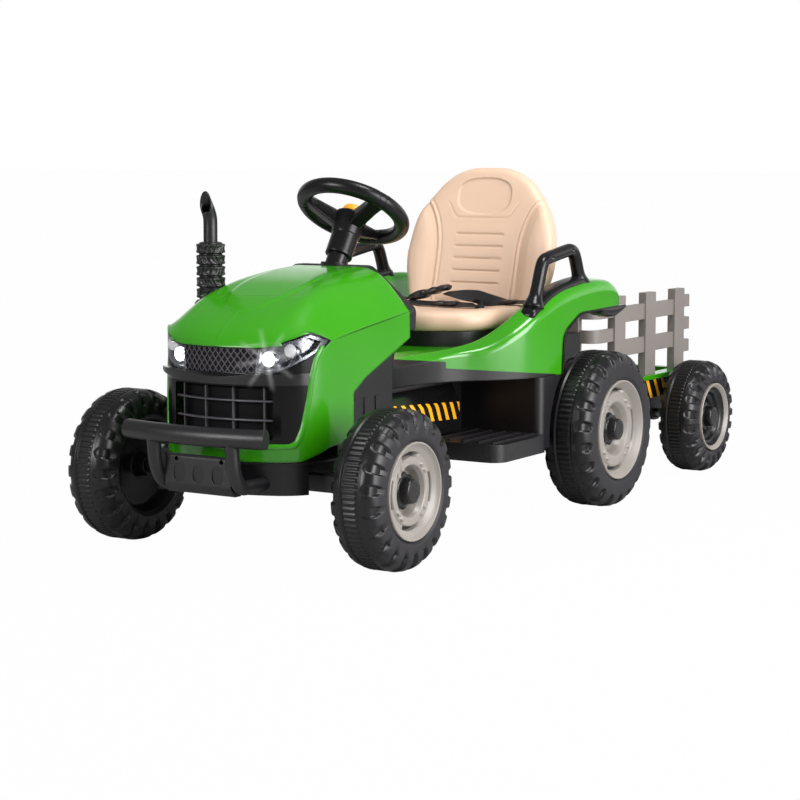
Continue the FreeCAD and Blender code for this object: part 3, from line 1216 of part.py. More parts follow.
# Trailer fence: two side panels, and a front panel whose rails bend round the corners to meet them
post_w = 46.0
post_t = 16.0
fence_half = 168.0            # outer face of the side posts
fence_front_x = bed_front - 2
fence_top = 360.0
fence_set_in = 3.5            # slats and rails lie this far inside the posts' faces
slat_t = 9.0
slat_h = 31.0
slat_zs = (323.5, 258.0)
rail_h = 25.0
rail_zs = (333.0, 287.0, 241.0)
rail_corner_r = 26.0
post_backs = (265, 403, 540)  # rear axle to the side posts' middles
front_post_y = 104.5
side_posts = [box(from_rear(-back) - post_w / 2, from_rear(-back) + post_w / 2,
                  fence_half - post_t, fence_half, bed_top, fence_top) for back in post_backs]
first_post_x = from_rear(-post_backs[0]) + post_w / 2
last_post_x = from_rear(-post_backs[-1])
slat_y = fence_half - fence_set_in
side_slats = [box(last_post_x, first_post_x - 5, slat_y - slat_t, slat_y, z - slat_h / 2, z + slat_h / 2)
              for z in slat_zs]
rail_ends = [box(rear_axle_x - rear_reach, last_post_x, slat_y - slat_t, slat_y,
                 z - rail_h / 2, z + rail_h / 2) for z in rail_zs]
side_fence = side_posts[0].fuse(side_posts[1:] + side_slats + rail_ends).removeSplitter()
nodes["trailer_side_fences"] = pair(side_fence)


def rail_block(inset, rear, z0, z1):
    half = slat_y - inset
    front = fence_front_x - fence_set_in - inset
    corner = rail_corner_r - inset
    return prism_xy([(rear, -half, 0), (front, -half, corner), (front, half, corner), (rear, half, 0)], z0, z1)


front_pieces = []
for z in rail_zs:
    rail = rail_block(0, first_post_x, z - rail_h / 2, z + rail_h / 2)
    front_pieces.append(rail.cut(rail_block(slat_t, first_post_x - 1, z - rail_h, z + rail_h)))
for sign in (1, -1):
    front_pieces.append(box(fence_front_x - post_t, fence_front_x, sign * front_post_y - post_w / 2,
                            sign * front_post_y + post_w / 2, bed_top, fence_top))
nodes["trailer_front_fence"] = front_pieces[0].fuse(front_pieces[1:]).removeSplitter()


os.makedirs("parts", exist_ok=True)
for name, shape in nodes.items():
    shape.exportStep("parts/" + name + ".step")
    print(name, len(shape.Solids), shape.isValid(), round(shape.Volume / 1000))
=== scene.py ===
import json

import bmesh
import bpy
import numpy as np
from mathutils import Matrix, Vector

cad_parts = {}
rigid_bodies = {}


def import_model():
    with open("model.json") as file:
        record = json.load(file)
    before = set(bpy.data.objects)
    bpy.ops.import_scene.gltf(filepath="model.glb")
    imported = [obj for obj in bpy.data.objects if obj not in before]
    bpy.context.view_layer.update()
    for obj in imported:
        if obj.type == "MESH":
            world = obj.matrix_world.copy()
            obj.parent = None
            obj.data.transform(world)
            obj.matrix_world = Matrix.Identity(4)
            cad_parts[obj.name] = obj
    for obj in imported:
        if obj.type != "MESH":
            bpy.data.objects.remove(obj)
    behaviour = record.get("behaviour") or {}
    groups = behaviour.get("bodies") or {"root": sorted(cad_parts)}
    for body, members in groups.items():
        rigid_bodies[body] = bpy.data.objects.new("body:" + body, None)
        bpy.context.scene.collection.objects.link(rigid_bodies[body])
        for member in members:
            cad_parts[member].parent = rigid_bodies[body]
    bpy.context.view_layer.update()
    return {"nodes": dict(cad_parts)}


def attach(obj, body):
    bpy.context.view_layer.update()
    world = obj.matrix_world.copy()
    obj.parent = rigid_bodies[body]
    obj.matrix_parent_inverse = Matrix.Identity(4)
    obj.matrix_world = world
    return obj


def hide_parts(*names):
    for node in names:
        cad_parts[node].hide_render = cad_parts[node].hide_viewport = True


for leftover in list(bpy.data.objects):
    bpy.data.objects.remove(leftover)
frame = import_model()


# Axles, kingpins, steering shaft, tie rod and hitch pin: mild steel bar, cut, bent and zinc plated, with the
# faint cloudiness that barrel plating leaves. The front beam and its knuckles are painted black.
def math_node(operation, swapped=False):
    """Operator of two operands that adds a Math node."""
    return lambda own, other: own.math(operation, *((other, own) if swapped else (own, other)))


class Field:
    """A shader socket: arithmetic on it adds Math nodes to its tree."""
    __add__ = __radd__ = math_node("ADD")
    __sub__, __rsub__ = math_node("SUBTRACT"), math_node("SUBTRACT", True)
    __mul__ = __rmul__ = math_node("MULTIPLY")
    __truediv__ = math_node("DIVIDE")
    __lt__, __gt__ = math_node("LESS_THAN"), math_node("GREATER_THAN")

    def __init__(self, tree, socket=None):
        self.tree = tree
        self.socket = socket

    def add(self, kind, settings=None, inputs=None, output=0):
        """New node: settings are set first, then each input gets its value or link; gives one output."""
        node = self.tree.nodes.new(kind)
        for name, value in (settings or {}).items():
            setattr(node, name, value)
        for key, value in (inputs or {}).items():
            if isinstance(value, Field):
                self.tree.links.new(value.socket, node.inputs[key])
            else:
                node.inputs[key].default_value = value
        return Field(self.tree, node.outputs[output])

    def math(self, operation, first, second=0.0):
        return self.add("ShaderNodeMath", {"operation": operation}, {0: first, 1: second})

    def __abs__(self):
        return self.math("ABSOLUTE", self)


def paint(red, green, blue):
    """Display colour, 0 to 255 per channel, as the linear colour that a shader takes."""
    c = np.array([red, green, blue]) / 255
    c = np.where(c <= 0.04045, c / 12.92, ((c + 0.055) / 1.055) ** 2.4)
    return (*c.tolist(), 1.0)


def new_finish(name, **fixed):
    """Material with one principled shader; what is the same all over is set on it, such as Coat_Weight=0.3."""
    material = bpy.data.materials.new(name)
    material.use_nodes = True
    for key, value in fixed.items():
        material.node_tree.nodes["Principled BSDF"].inputs[key.replace("_", " ")].default_value = value
    return material


def feed(material, **varying):
    """Link what varies over the surface to the finish's shader, such as Base_Color=shade."""
    for key, value in varying.items():
        socket = material.node_tree.nodes["Principled BSDF"].inputs[key.replace("_", " ")]
        material.node_tree.links.new(value.socket, socket)


def position(material):
    """Object coordinates, as a field of the finish."""
    return Field(material.node_tree).add("ShaderNodeTexCoord", None, None, "Object")


def noise(place, scale, detail=2.0):
    return place.add("ShaderNodeTexNoise", None, {"Vector": place, "Scale": scale, "Detail": detail})


def two_tone(factor, dark, light):
    """Colour between dark and light, each a display colour or a field, by a factor from 0 to 1."""
    dark, light = (c if isinstance(c, Field) else paint(*c) for c in (dark, light))
    return factor.add("ShaderNodeMix", {"data_type": "RGBA"}, {0: factor, 6: dark, 7: light}, 2)


def soft_edge(place, radius):
    """Normal that is turned smoothly round hard corners within a radius."""
    return place.add("ShaderNodeBevel", {"samples": 4}, {"Radius": radius})


def relief(height, depth, strength=0.5, **base):
    """Normal of a fine relief, on a base Normal where one is given."""
    return height.add("ShaderNodeBump", None,
                      {"Height": height, "Distance": depth, "Strength": strength, **base})


def surface(name, dark, light, rough, grain, depth, edge=0.0, **fixed):
    """Even finish: clouds between two close colours, speckled roughness, and a fine grain in relief.
    Edge is the radius over which hard corners are rounded in the shading."""
    material = new_finish(name, **fixed)
    place = position(material)
    clouds, speckle = noise(place, 7.0, 3.0), noise(place, grain)
    base = {"Normal": soft_edge(place, edge)} if edge else {}
    feed(material, Base_Color=two_tone(clouds, dark, light), Normal=relief(speckle, depth, **base),
         Roughness=rough + 0.10 * (speckle - 0.5) + 0.10 * (clouds - 0.5))
    return material


def dress(material, *names):
    """Give the CAD nodes a finish."""
    for name in names:
        for place in frame["nodes"][name].material_slots:
            place.material = material


zinc = surface("zinc_plate", (150, 152, 154), (196, 198, 200), 0.34, 500, 0.00003, 0.0006, Metallic=1.0)
dress(zinc, "tie_rod", "steering_shaft", "rear_axle", "pivot_pins", "trailer_axle", "hitch_bracket")
axle_paint = surface("axle_paint", (20, 19, 21), (29, 27, 30), 0.42, 500, 0.00004, 0.001)
dress(axle_paint, "front_axle_beam", "knuckle_left", "knuckle_right")

# Gearmotors, battery and control module: moulded cases inside the seat box, screwed to its roof and walls.
# The motors and the module are black, the battery is dark grey.
gear_case = surface("gear_case", (28, 28, 30), (40, 40, 42), 0.5, 700, 0.00005, 0.0012)
battery_case = surface("battery_case", (52, 54, 58), (66, 68, 72), 0.45, 500, 0.00005, 0.0015)
dress(gear_case, "gearmotors", "control_module")
dress(battery_case, "battery")

# Tyres: one hollow moulding each, with web and hub. The tread has a ribbed band round its middle between
# two fine ridges, and a row of pill-shaped hollows on each side that runs out over the shoulder.
MM = 0.001
SIDES = (("left", 1), ("right", -1))


def unit(vectors):
    """Vectors, on the last axis, brought to length one."""
    return vectors / np.linalg.norm(vectors, axis=-1, keepdims=True)


def full_turn(count):
    """Angles once round, evenly spaced."""
    return np.linspace(0, 2 * np.pi, count, endpoint=False)


def smooth(low, high, value):
    """Rises from 0 at low to 1 at high along 3t² - 2t³."""
    t = np.clip((value - low) / (high - low), 0, 1)
    return t * t * (3 - 2 * t)


def ridge(distance, width):
    """Bell of height one across a line at that distance: exp(-(distance / width)²)."""
    return np.exp(-(distance / width) ** 2)


def rounded(corners, fine, coarse=14.0, fine_from=0.0):
    """Closed profile in mm: runs between corners (across, radius, rounding) with an arc in each corner.
    Runs beyond the radius fine_from are divided finely, the others coarsely."""
    points = []
    for i, (across, radius, arc) in enumerate(corners):
        corner = np.array([across, radius])
        if not arc:
            points.append(corner[None])
            continue
        back = unit(np.array(corners[i - 1][:2]) - corner)
        ahead = unit(np.array(corners[(i + 1) % len(corners)][:2]) - corner)
        half = np.arccos(np.clip(back @ ahead, -1, 1)) / 2
        turn = np.pi - 2 * half
        middle = corner + unit(back + ahead) * arc / np.sin(half)
        start, end = (corner + way * arc / np.tan(half) - middle for way in (back, ahead))
        s = np.linspace(0, 1, max(3, int(arc * turn / fine) + 2))[:, None]
        points.append(middle + (np.sin((1 - s) * turn) * start + np.sin(s * turn) * end) / np.sin(turn))
    points = np.concatenate(points)
    runs = []
    for here, there in zip(points, np.roll(points, -1, 0)):
        step = fine if min(here[1], there[1]) > fine_from else coarse
        count = max(1, int(np.ceil(np.linalg.norm(there - here) / step)))
        runs.append(here + (there - here) * np.linspace(0, 1, count, endpoint=False)[:, None])
    return np.concatenate(runs)


scene = bpy.context.scene


def tiles(index):
    """The quads between neighbours in a grid of point numbers."""
    return np.stack([index[:-1, :-1], index[1:, :-1], index[1:, 1:], index[:-1, 1:]], -1).reshape(-1, 4)


def piece(name, grids, material, body, hides=(), loop=False, wrap=True, closed=True):
    """One object from grids of points (rows, columns, 3) in mm; where they loop, the last row joins the first,
    and where they wrap, the last column does. Closed forms are turned to face outwards by the sign of the
    volume they enclose, and points that meet at seams and poles are merged."""
    points, quads, start = [], [], 0
    for grid in grids:
        index = np.arange(grid.shape[0] * grid.shape[1]).reshape(grid.shape[:2])
        if loop:
            index = np.concatenate([index, index[:1]])
        if wrap:
            index = np.concatenate([index, index[:, :1]], 1)
        faces = tiles(index)
        flat = MM * grid.reshape(-1, 3)
        a, b, c, d = (flat[faces[:, k]] - flat.mean(0) for k in range(4))
        volume = np.einsum("ij,ij->", a, np.cross(b, c)) + np.einsum("ij,ij->", a, np.cross(c, d))
        if closed and volume < 0:
            faces = faces[:, ::-1]
        points.append(flat)
        quads.append(faces + start)
        start += len(flat)
    mesh = bpy.data.meshes.new(name)
    mesh.from_pydata(np.concatenate(points).tolist(), [], np.concatenate(quads).tolist())
    sewn = bmesh.new()
    sewn.from_mesh(mesh)
    bmesh.ops.remove_doubles(sewn, verts=sewn.verts, dist=3e-5)
    sewn.to_mesh(mesh)
    sewn.free()
    mesh.polygons.foreach_set("use_smooth", np.ones(len(mesh.polygons), bool))
    mesh.materials.append(material)
    made = bpy.data.objects.new(name, mesh)
    scene.collection.objects.link(made)
    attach(made, body)
    if hides:
        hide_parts(*hides)
    return made


def grid_of(x, y, z):
    """Grid of points from three arrays that broadcast together."""
    return np.stack(np.broadcast_arrays(x, y, z), -1)


def wheel_pair(axle, made, stands_for, finish, across, reach, turns, loop=True):
    """The same turned piece on both wheels of an axle: (reach cos t, across, reach sin t) about the axle,
    across being counted outwards from the tyre's middle."""
    x, y, radius = wheels[axle][:3]
    for side, sign in SIDES:
        wheel = axle + "_" + side
        grid = grid_of(x + reach * np.cos(turns), sign * (y + across), radius + reach * np.sin(turns))
        piece(wheel + made, [grid], finish, wheel + "_wheel", (wheel + stands_for,), loop)


def along(profile):
    """Distance along a closed profile from its crown, the point of largest radius nearest its middle; towards
    the outboard side it counts up. Also the outward normals (across, radius)."""
    step = np.linalg.norm(np.roll(profile, -1, 0) - profile, axis=1)
    run = np.concatenate([[0], np.cumsum(step)[:-1]])
    crown = np.argmin(np.abs(profile[:, 0]) - 10 * (profile[:, 1] > profile[:, 1].max() - 1.5))
    total = step.sum()
    run = (run - run[crown] + total / 2) % total - total / 2
    tangent = unit(np.roll(profile, -1, 0) - np.roll(profile, 1, 0))
    outward = np.sign(-tangent[crown, 0])
    return run * -outward, outward * np.stack([tangent[:, 1], -tangent[:, 0]], 1)


def tread(run, angles, radius):
    """Depth of the tread in mm: ribs across the band, a groove and a ridge beside it, and pill-shaped hollows
    that grow deeper towards the shoulder; a pill is all that lies within its half width of a line across."""
    rib_count, rib_depth, band_half, groove_depth, groove_to, ridge_height = 88, 1.9, 11.8, 2.4, 14.8, 0.6
    pill_count, pill_half, pill_from, pill_to = 22, 8.6, 21.5, 58.0
    side = np.abs(run)[:, None]
    beside = smooth(band_half - 0.4, band_half + 0.4, side)
    ribs = smooth(-0.15, 0.25, np.cos(rib_count * angles)) * (1 - beside)
    depth = -rib_depth * ribs - groove_depth * beside * smooth(groove_to + 0.4, groove_to - 0.4, side)
    depth = depth + ridge_height * smooth(groove_to, groove_to + 1, side) * smooth(18.6, 17.4, side)
    pill_depth = 2.7 + 4.2 * smooth(0.25, 0.85, (side - pill_from) / (pill_to - pill_from))
    turn = pill_count * angles / (2 * np.pi) + np.where(run > 0, 0.0, 0.5)[:, None]
    apart = np.abs(turn % 1 - 0.5) * 2 * np.pi * radius / pill_count
    beyond = np.maximum(np.maximum(pill_from + pill_half - side, side - pill_to + pill_half), 0)
    hollow = smooth(-0.5, 0.9, pill_half - np.hypot(beyond, apart))
    return depth - pill_depth * hollow


def axes(place, which):
    """The named coordinates of a place, such as "XZ"."""
    return [place.add("ShaderNodeSeparateXYZ", None, {0: place}, letter) for letter in which]


def rise(value, low, high, top=1.0):
    """Smooth step of a field, from 0 at low to top at high."""
    return value.add("ShaderNodeMapRange", {"interpolation_type": "SMOOTHSTEP"},
                     {"Value": value, "From Min": low, "From Max": high, "To Min": 0.0, "To Max": top})


def rubber(name, wall_y):
    """Tyre finish: dark and polished on the tread, paler and matt on the sidewalls beyond wall_y; their paler
    colour is painted light, for the lamp that falls on their sides.
    """
    material = new_finish(name, Specular_IOR_Level=0.4)
    place = position(material)
    wall = rise(abs(axes(place, "Y")[0]), wall_y - 0.005, wall_y)
    clouds, speckle = noise(place, 9.0, 3.0), noise(place, 900.0)
    # Sidewalls paler than the tread: painted light.
    shade = two_tone(wall, (14, 13, 15), (29, 27, 31))
    feed(material, Base_Color=two_tone(0.35 * clouds, shade, (24, 22, 25)), Normal=relief(speckle, 0.00004),
         Roughness=0.33 + 0.2 * wall + 0.12 * (clouds - 0.5) + 0.06 * (speckle - 0.5))
    return material


# Each axle's place in X, half its track, and its tyres' radius, width and rim radius.
wheels = {"front": (554, 254, 125.0, 84.0, 76.0), "rear": (-146, 254, 141.0, 94.0, 89.0),
          "trailer": (-626, 234, 111.0, 80.0, 67.0)}
tyre_turn = full_turn(528)
wall_swell, wall_groove, crown_wear, crown_drop = 0.6, 0.7, 0.6, 3.2
for axle, (x, y, radius, width, rim_r) in wheels.items():
    half = width / 2 + wall_swell
    top = radius - crown_wear
    profile = rounded([
        (-4, 6.2, 0), (-4, 20, 1), (-10, 20, 2), (-10, rim_r + 0.3, 1), (half - 4, rim_r + 0.3, 2),
        (half, rim_r + 8, 4), (half, top, 22), (-half, top, 22), (-half, rim_r + 8, 4), (4 - half, rim_r, 3),
        (-15, rim_r - 8, 3), (-15, 20, 2), (4 - half, 16, 1), (4 - half, 6.2, 0)], 1.6, 14.0, rim_r + 12)
    run, normal = along(profile)
    profile[:, 1] -= crown_drop * (profile[:, 0] / half) ** 2 * smooth(top - 30, top - 18, profile[:, 1])
    across, reach = profile[:, :1], profile[:, 1:]
    lift = tread(run, tyre_turn[None], radius)
    lift = lift - wall_groove * ridge(reach - rim_r - 16, 1.6) * (np.abs(across) > half - 1)
    across, reach = across + normal[:, :1] * lift, reach + normal[:, 1:] * lift
    tyre_black = rubber(axle + "_tyre_black", MM * (y + half - 0.8))
    wheel_pair(axle, "_tread", "_tyre", tyre_black, across, reach, tyre_turn)

# Rims: dished discs moulded in warm light grey with a rolled lip, pressed into the tyres. Front and rear ones
# have four curved slots and four pairs of bolt heads; the trailer's are painted black inside the lip. Hub caps:
# black, a scalloped flange with a blunt barrel, snapped over the axle nuts.
rim_lines = {
    "front": [(-3, 7), (-3, 70), (30, 75.6), (41, 76), (42.4, 75.2), (42.5, 73.6), (41.4, 72.4), (39.5, 71),
              (36.5, 68), (33.0, 62), (31.5, 59.5), (31.5, 54), (33.2, 52.5), (33.8, 51), (33.8, 43),
              (32.6, 40.6), (26, 37), (15, 34), (12.4, 32), (11.6, 28), (11.6, 7)],
    "rear": [(-3, 7), (-3, 82), (30, 88.6), (46, 89), (47.4, 88.2), (47.5, 86.4), (46.4, 85), (44, 83),
             (40, 79.5), (35.4, 76), (33.5, 74), (33.5, 68), (35.4, 66), (36.2, 64), (36.2, 52),
             (34.8, 49), (27, 43), (18, 38.5), (15.4, 35), (14.6, 31), (14.6, 7)],
    "trailer": [(-3, 7), (-3, 60), (30, 66.6), (40, 67), (41.8, 66.4), (42, 65), (41, 63.4), (38, 60.5),
                (34, 57.4), (30, 55), (28, 53), (27, 49), (24, 47.5), (20, 46), (19, 43), (18.4, 38),
                (14, 35.5), (9, 34), (8.4, 32), (8.2, 28), (8.2, 7)]}
LIP_AT, DISH_AT, SLOT_AT, BOLT_AT = 4, 8, 10, 13
slot_half, slot_sunk, slot_angle, bolt_half, bolt_tall, trailer_black = 3.0, 9.0, 22.5, 3.9, 3.6, 0.0585
rim_turn = full_turn(240)


def rim_skin(name, middle, black_within, slot_r):
    """Rim finish: warm grey with faint flow clouds; black within a radius of the axle, or else darkened in the
    slots as painted shade.
    """
    material = new_finish(name)
    place = position(material)
    clouds, speckle = noise(place, 14.0, 3.0), noise(place, 700.0)
    off = place.add("ShaderNodeVectorMath", {"operation": "SUBTRACT"}, {0: place, 1: middle})
    flat = place.add("ShaderNodeVectorMath", {"operation": "MULTIPLY"}, {0: off, 1: (1.0, 0.0, 1.0)})
    far = place.add("ShaderNodeVectorMath", {"operation": "LENGTH"}, {0: flat}, "Value")
    if black_within:
        dark = far < black_within
    else:
        ahead, up = axes(off, "XZ")
        quarter = place.math("FRACT", place.math("ARCTAN2", up, ahead) / (np.pi / 2) + 4.5)
        # Dark in the slots: painted shade, on top of their sunk depth.
        dark = (abs(far - MM * slot_r) < MM * (slot_half - 0.4)) * (abs(quarter - 0.5) * 90.0 < slot_angle)
    shade = two_tone(clouds, (128, 123, 117), (146, 140, 134))
    feed(material, Base_Color=two_tone(dark, shade, (22, 21, 23)), Normal=relief(speckle, 0.00003),
         Roughness=0.34 + 0.12 * (clouds - 0.5) + 0.08 * (speckle - 0.5))
    return material


def slots_and_bolts(reach, slot_r, bolt_r):
    """Lift of a rim's face in mm: four slots sunk between two radii over 23 degrees to each side, and round
    bolt heads in pairs half way between the slots."""
    quarter = np.abs((rim_turn / (np.pi / 2) + 0.5) % 1 - 0.5) * 90
    slot = smooth(-0.6, 0.6, slot_half - np.abs(reach - slot_r)) * smooth(24.0, 22.0, quarter)
    off = np.abs(quarter - 45) - 8
    bolt = smooth(bolt_half + 0.5, bolt_half - 0.5, np.hypot(np.radians(off) * bolt_r, reach - bolt_r))
    return bolt_tall * bolt - slot_sunk * slot


def run_of(line):
    """Distance along a line to each of its points."""
    return np.concatenate([[0], np.cumsum(np.linalg.norm(np.diff(line, axis=0), axis=1))])


cap_black = surface("cap_black", (14, 13, 15), (21, 20, 22), 0.28, 700, 0.00003)
cap_turn = full_turn(160)
cap_faces = {"front": 293.5, "rear": 297.0, "trailer": 274.0}
cap_line = np.array([
    (-30, 0.01), (-30, 24), (-25, 27.4), (-23.6, 29), (-19.5, 29.2), (-18, 28), (-17.4, 25.6), (-17.2, 21.6),
    (-16, 20.2), (-13, 19.8), (-3.4, 19.2), (-1.2, 18.4), (-0.2, 16.6), (0, 14.6), (0, 7), (0, 0.01)])
scallops, scallop_deep, flange_in = 8, 1.5, 1.2
flange = smooth(23.0, 28.0, cap_line[:, 1:])
cap_reach = cap_line[:, 1:] + flange * scallop_deep * np.cos(scallops * cap_turn) - flange * flange_in
for axle, (x, y, radius, width, rim_r) in wheels.items():
    line = np.array(rim_lines[axle], float)
    run = run_of(line)
    fine = np.sort(np.concatenate([run, np.arange(run[LIP_AT], run[-1], 0.9)]))
    slot_r, bolt_r = line[SLOT_AT, 1] - 2.6, line[BOLT_AT, 1] - 3.6
    across, reach = (np.interp(fine, run, line[:, i])[:, None] for i in range(2))
    if axle != "trailer":
        across = across + slots_and_bolts(reach, slot_r, bolt_r) * (fine >= run[DISH_AT])[:, None]
    rim_grey = rim_skin(axle + "_rim_grey", (MM * x, 0.0, MM * radius),
                        trailer_black if axle == "trailer" else 0, slot_r)
    wheel_pair(axle, "_dish", "_rim", rim_grey, across, reach, rim_turn)
    barrel = cap_faces[axle] - y + cap_line[:, :1]
    wheel_pair(axle, "_cap", "_hub_cap", cap_black, barrel, cap_reach, cap_turn, loop=False)

# Chassis, floor, console, seat box and bumper: injection moulded in black with a fine spark-eroded grain, and
# screwed together from below. The pedal, dash and trailer frame have the same finish.
satin = surface("satin_black", (17, 16, 18), (25, 23, 26), 0.38, 1400, 0.00006, 0.0015)
dress(satin, "front_chassis", "floor_pan", "console", "seat_box", "bumper_bar", "bumper_plate",
      "accelerator_pedal", "seat_riser", "dashboard", "trailer_frame")

# Tunnel covers: two glossy black panels screwed to the console's sides. Each slants out from under the ledge,
# stands upright beside the footboard, and carries a row of slanted amber bars.
amber_bar, coal = (240, 168, 24), (14, 14, 15)
bar_height, bars_from, bars_to = 0.030, 0.094, 0.30


def slanted(x_of, z_of, slant, pitch, share):
    """Mask of slanted bars: the share of each pitch along X that they fill, shifted along X as Z rises."""
    return x_of.math("FRACT", (x_of - slant * z_of) / pitch) < share


def capped(grid):
    """Grid whose first and last rows are each closed in their middle point."""
    first, last = (end.mean(1, keepdims=True) + 0 * end for end in (grid[:1], grid[-1:]))
    return np.concatenate([first, grid, last])


barred = new_finish("barred_black", Roughness=0.22, Coat_Weight=0.3)
x_of, z_of = axes(position(barred), "XZ")
bar_top = 0.216 - 0.06 * (bars_to - x_of)
bar_row = (z_of < bar_top) * (z_of > bar_top - bar_height) * (x_of < bars_to) * (x_of > bars_from)
bars = slanted(x_of, z_of, slant=0.45, pitch=0.0245, share=0.42) * bar_row
feed(barred, Base_Color=two_tone(bars, coal, amber_bar))
cover_line = rounded([(80, 153, 0), (104, 153, 0), (104, 203, 14), (82, 246, 10), (76, 246, 0)], 1.0, 3.0)
ease = np.linspace(0, np.pi / 2, 6)
stretch = np.concatenate([[90.4, 90.0], 90 + 3 * np.sin(ease), np.linspace(94, 330, 60)])[:, None]
inset = np.concatenate([[20.0, 3.0], 3 * np.cos(ease), np.zeros(60)])[:, None]
console_wall = 75.2
cover_y = np.maximum(cover_line[:, 0] - inset, console_wall)
for side, sign in SIDES:
    grid = grid_of(stretch, sign * cover_y, cover_line[:, 1])
    piece("tunnel_cover_" + side, [capped(grid)], barred, "tractor")

# Fascia, steering column and fender trims: black with a higher polish. The fascia is one moulding, set into the
# nose; its mesh ribs are paler than the rest, and the band below them is lacquered.
gloss = surface("gloss_black", (14, 13, 15), (20, 19, 22), 0.22, 900, 0.00003, 0.0012, Specular_IOR_Level=0.34)
dress(gloss, "steering_column", "fender_trims")
fascia_black = new_finish("fascia_black", Specular_IOR_Level=0.22, Coat_Roughness=0.22)
place = position(fascia_black)
x_of, y_of, z_of = axes(place, "XYZ")
out_y = abs(y_of)
nose_x, nose_bow = 0.660, 2.36
mesh_half, mesh_low, mesh_high, band_low, band_high = 0.078, 0.301, 0.338, 0.2825, 0.3005
mesh_part = (out_y < mesh_half) * (z_of > mesh_low) * (z_of < mesh_high)
mesh_part = mesh_part * (nose_x - nose_bow * out_y * out_y - x_of < 0.0016) * (x_of < 0.6598)
clouds = noise(place, 7.0, 3.0)
shade = two_tone(mesh_part, two_tone(clouds, (9, 9, 10), (14, 13, 15)), (78, 75, 82))
feed(fascia_black, Base_Color=shade, Roughness=0.16 + 0.22 * mesh_part + 0.1 * (clouds - 0.5),
     Coat_Weight=0.9 * (z_of > band_low) * (z_of < band_high), Normal=soft_edge(place, 0.0012))
dress(fascia_black, "fascia")

# Lower grille: two slim bowed bars on four thin uprights, one moulding, pushed into the fascia from behind.
# Behind them a near-black plate closes the opening: a painted shade that stands for the dark space within.
grille_black = surface("grille_black", (62, 60, 65), (74, 72, 77), 0.32, 900, 0.00003)
shade_back = surface("grille_painted_shade", (5, 5, 6), (8, 8, 9), 0.5, 900, 0.00003, Specular_IOR_Level=0.12)
FORWARD = np.array([1.0, 0, 0])


def bowed(y):
    """How far forward the nose reaches at y, in mm: a shallow parabola."""
    return 1000 * nose_x - MM * nose_bow * y * y


def blunt(value, power):
    """A sine or cosine raised to a power under one, its sign kept: the section's corners fill out."""
    return np.sign(value) * np.abs(value) ** power


def bar(line, half_wide, half_deep):
    """Slim bar along a line of points: a blunt oval section, wide across the bar in the nose's face, deep along
    X; both ends closed in a point."""
    wide = unit(np.cross(unit(np.gradient(line, axis=0)), FORWARD))[:, None]
    t = full_turn(20)[:, None]
    oval = wide * half_wide * blunt(np.cos(t), 0.6) + FORWARD * half_deep * blunt(np.sin(t), 0.6)
    return capped(line[:, None] + oval)


run_y, run_z = np.linspace(-92, 92, 61), np.linspace(197, 279.5, 21)
grille = [bar(grid_of(bowed(run_y) - 6.5, run_y, z), 1.7, 3.4) for z in (228, 257.5)]
grille += [bar(grid_of(bowed(y) - 9.0, y, run_z), 1.3, 2.6) for y in (-76, -26, 26, 76)]
back_y, back_z = np.meshgrid(np.linspace(-92.5, 92.5, 61), np.linspace(196.5, 279.5, 12), indexing="ij")
front_face = np.stack([bowed(back_y) - 16, back_y, back_z], -1)
plate = np.concatenate([front_face, (front_face - 3.0 * FORWARD)[::-1]])
shut = 0.5 * (plate[:, [0, -1]] + plate[::-1][:, [0, -1]])
plate = np.concatenate([shut[:, :1], plate, shut[:, 1:]], 1)
# Near-black plate behind the bars: painted shade.
piece("grille_back", [plate], shade_back, "tractor", loop=True, wrap=False)
piece("grille_bars", grille, grille_black, "tractor", ("lower_grille",))

# Exhaust: a blow-moulded stack of six knuckled rings on a round foot, with a bent pipe pushed into its top.
# The pipe's open end is cut upright. The foot is screwed to the hood from below.
stack_at = np.array([512.0, -118.0, 0.0])
ring_from, ring_pitch, neck_r, pole_r, cut_x = 382.0, 18, 18.6, 0.01, 524.3
turns = full_turn(160)


def through(points, count):
    """Smooth curve through points: on each span the Catmull-Rom cubic, whose slope at a point is half the step
    between that point's neighbours."""
    p = np.asarray(points, float)
    p = np.concatenate([2 * p[:1] - p[1:2], p, 2 * p[-1:] - p[-2:-1]])
    t = np.linspace(0, len(p) - 3 - 1e-9, count)
    i = t.astype(int)
    s = (t - i)[:, None]
    a, b, c, d = p[i], p[i + 1], p[i + 2], p[i + 3]
    return b + 0.5 * s * (c - a + s * (2 * a - 5 * b + 4 * c - d + s * (3 * (b - c) + d - a)))


def knuckled(height):
    """Radius of the stack in mm: a neck, rings of even pitch, and on each ring ten blocks with slanted sides,
    dished in the middle; the slant changes hand from ring to ring."""
    ring_tall, block_count, block_tall, dish_deep, notch_deep = 2.2, 10, 2.6, 1.5, 0.7
    which = np.floor((height - ring_from) / ring_pitch)
    within = (height - ring_from) % ring_pitch - ring_pitch / 2
    hand = np.where(which % 2 == 0, 1.0, -1.0)
    ring = smooth(8.4, 6.4, np.abs(within))
    slant = (block_count * turns[None] / (2 * np.pi) + hand * within / 26 + 0.31 * which) % 1 - 0.5
    block = smooth(0.46, 0.34, np.abs(slant))
    dish = ridge(slant, 0.2) * ridge(within, 3.4)
    notch = smooth(0.5, 0.42, np.abs((slant + hand * within / 30) % 1 - 0.5)) * smooth(2.4, 4.2, np.abs(within))
    return neck_r + ring * (ring_tall + block_tall * block - dish_deep * dish - notch_deep * (1 - notch))


def lathe(radius, height, turns):
    """Surface of revolution about Z: (radius cos t, radius sin t, height)."""
    return grid_of(radius * np.cos(turns), radius * np.sin(turns), height)


def hoops(path, y, radius, turns):
    """Rings of a tube round a path in an upright plane: (x, z) + radius (cos t along Y, sin t along the path's
    normal in that plane)."""
    heading = unit(np.gradient(path, axis=0))
    off = radius * np.sin(turns)
    return grid_of(path[:, :1] + off * heading[:, 1:], y + radius * np.cos(turns),
                   path[:, 1:] - off * heading[:, :1])


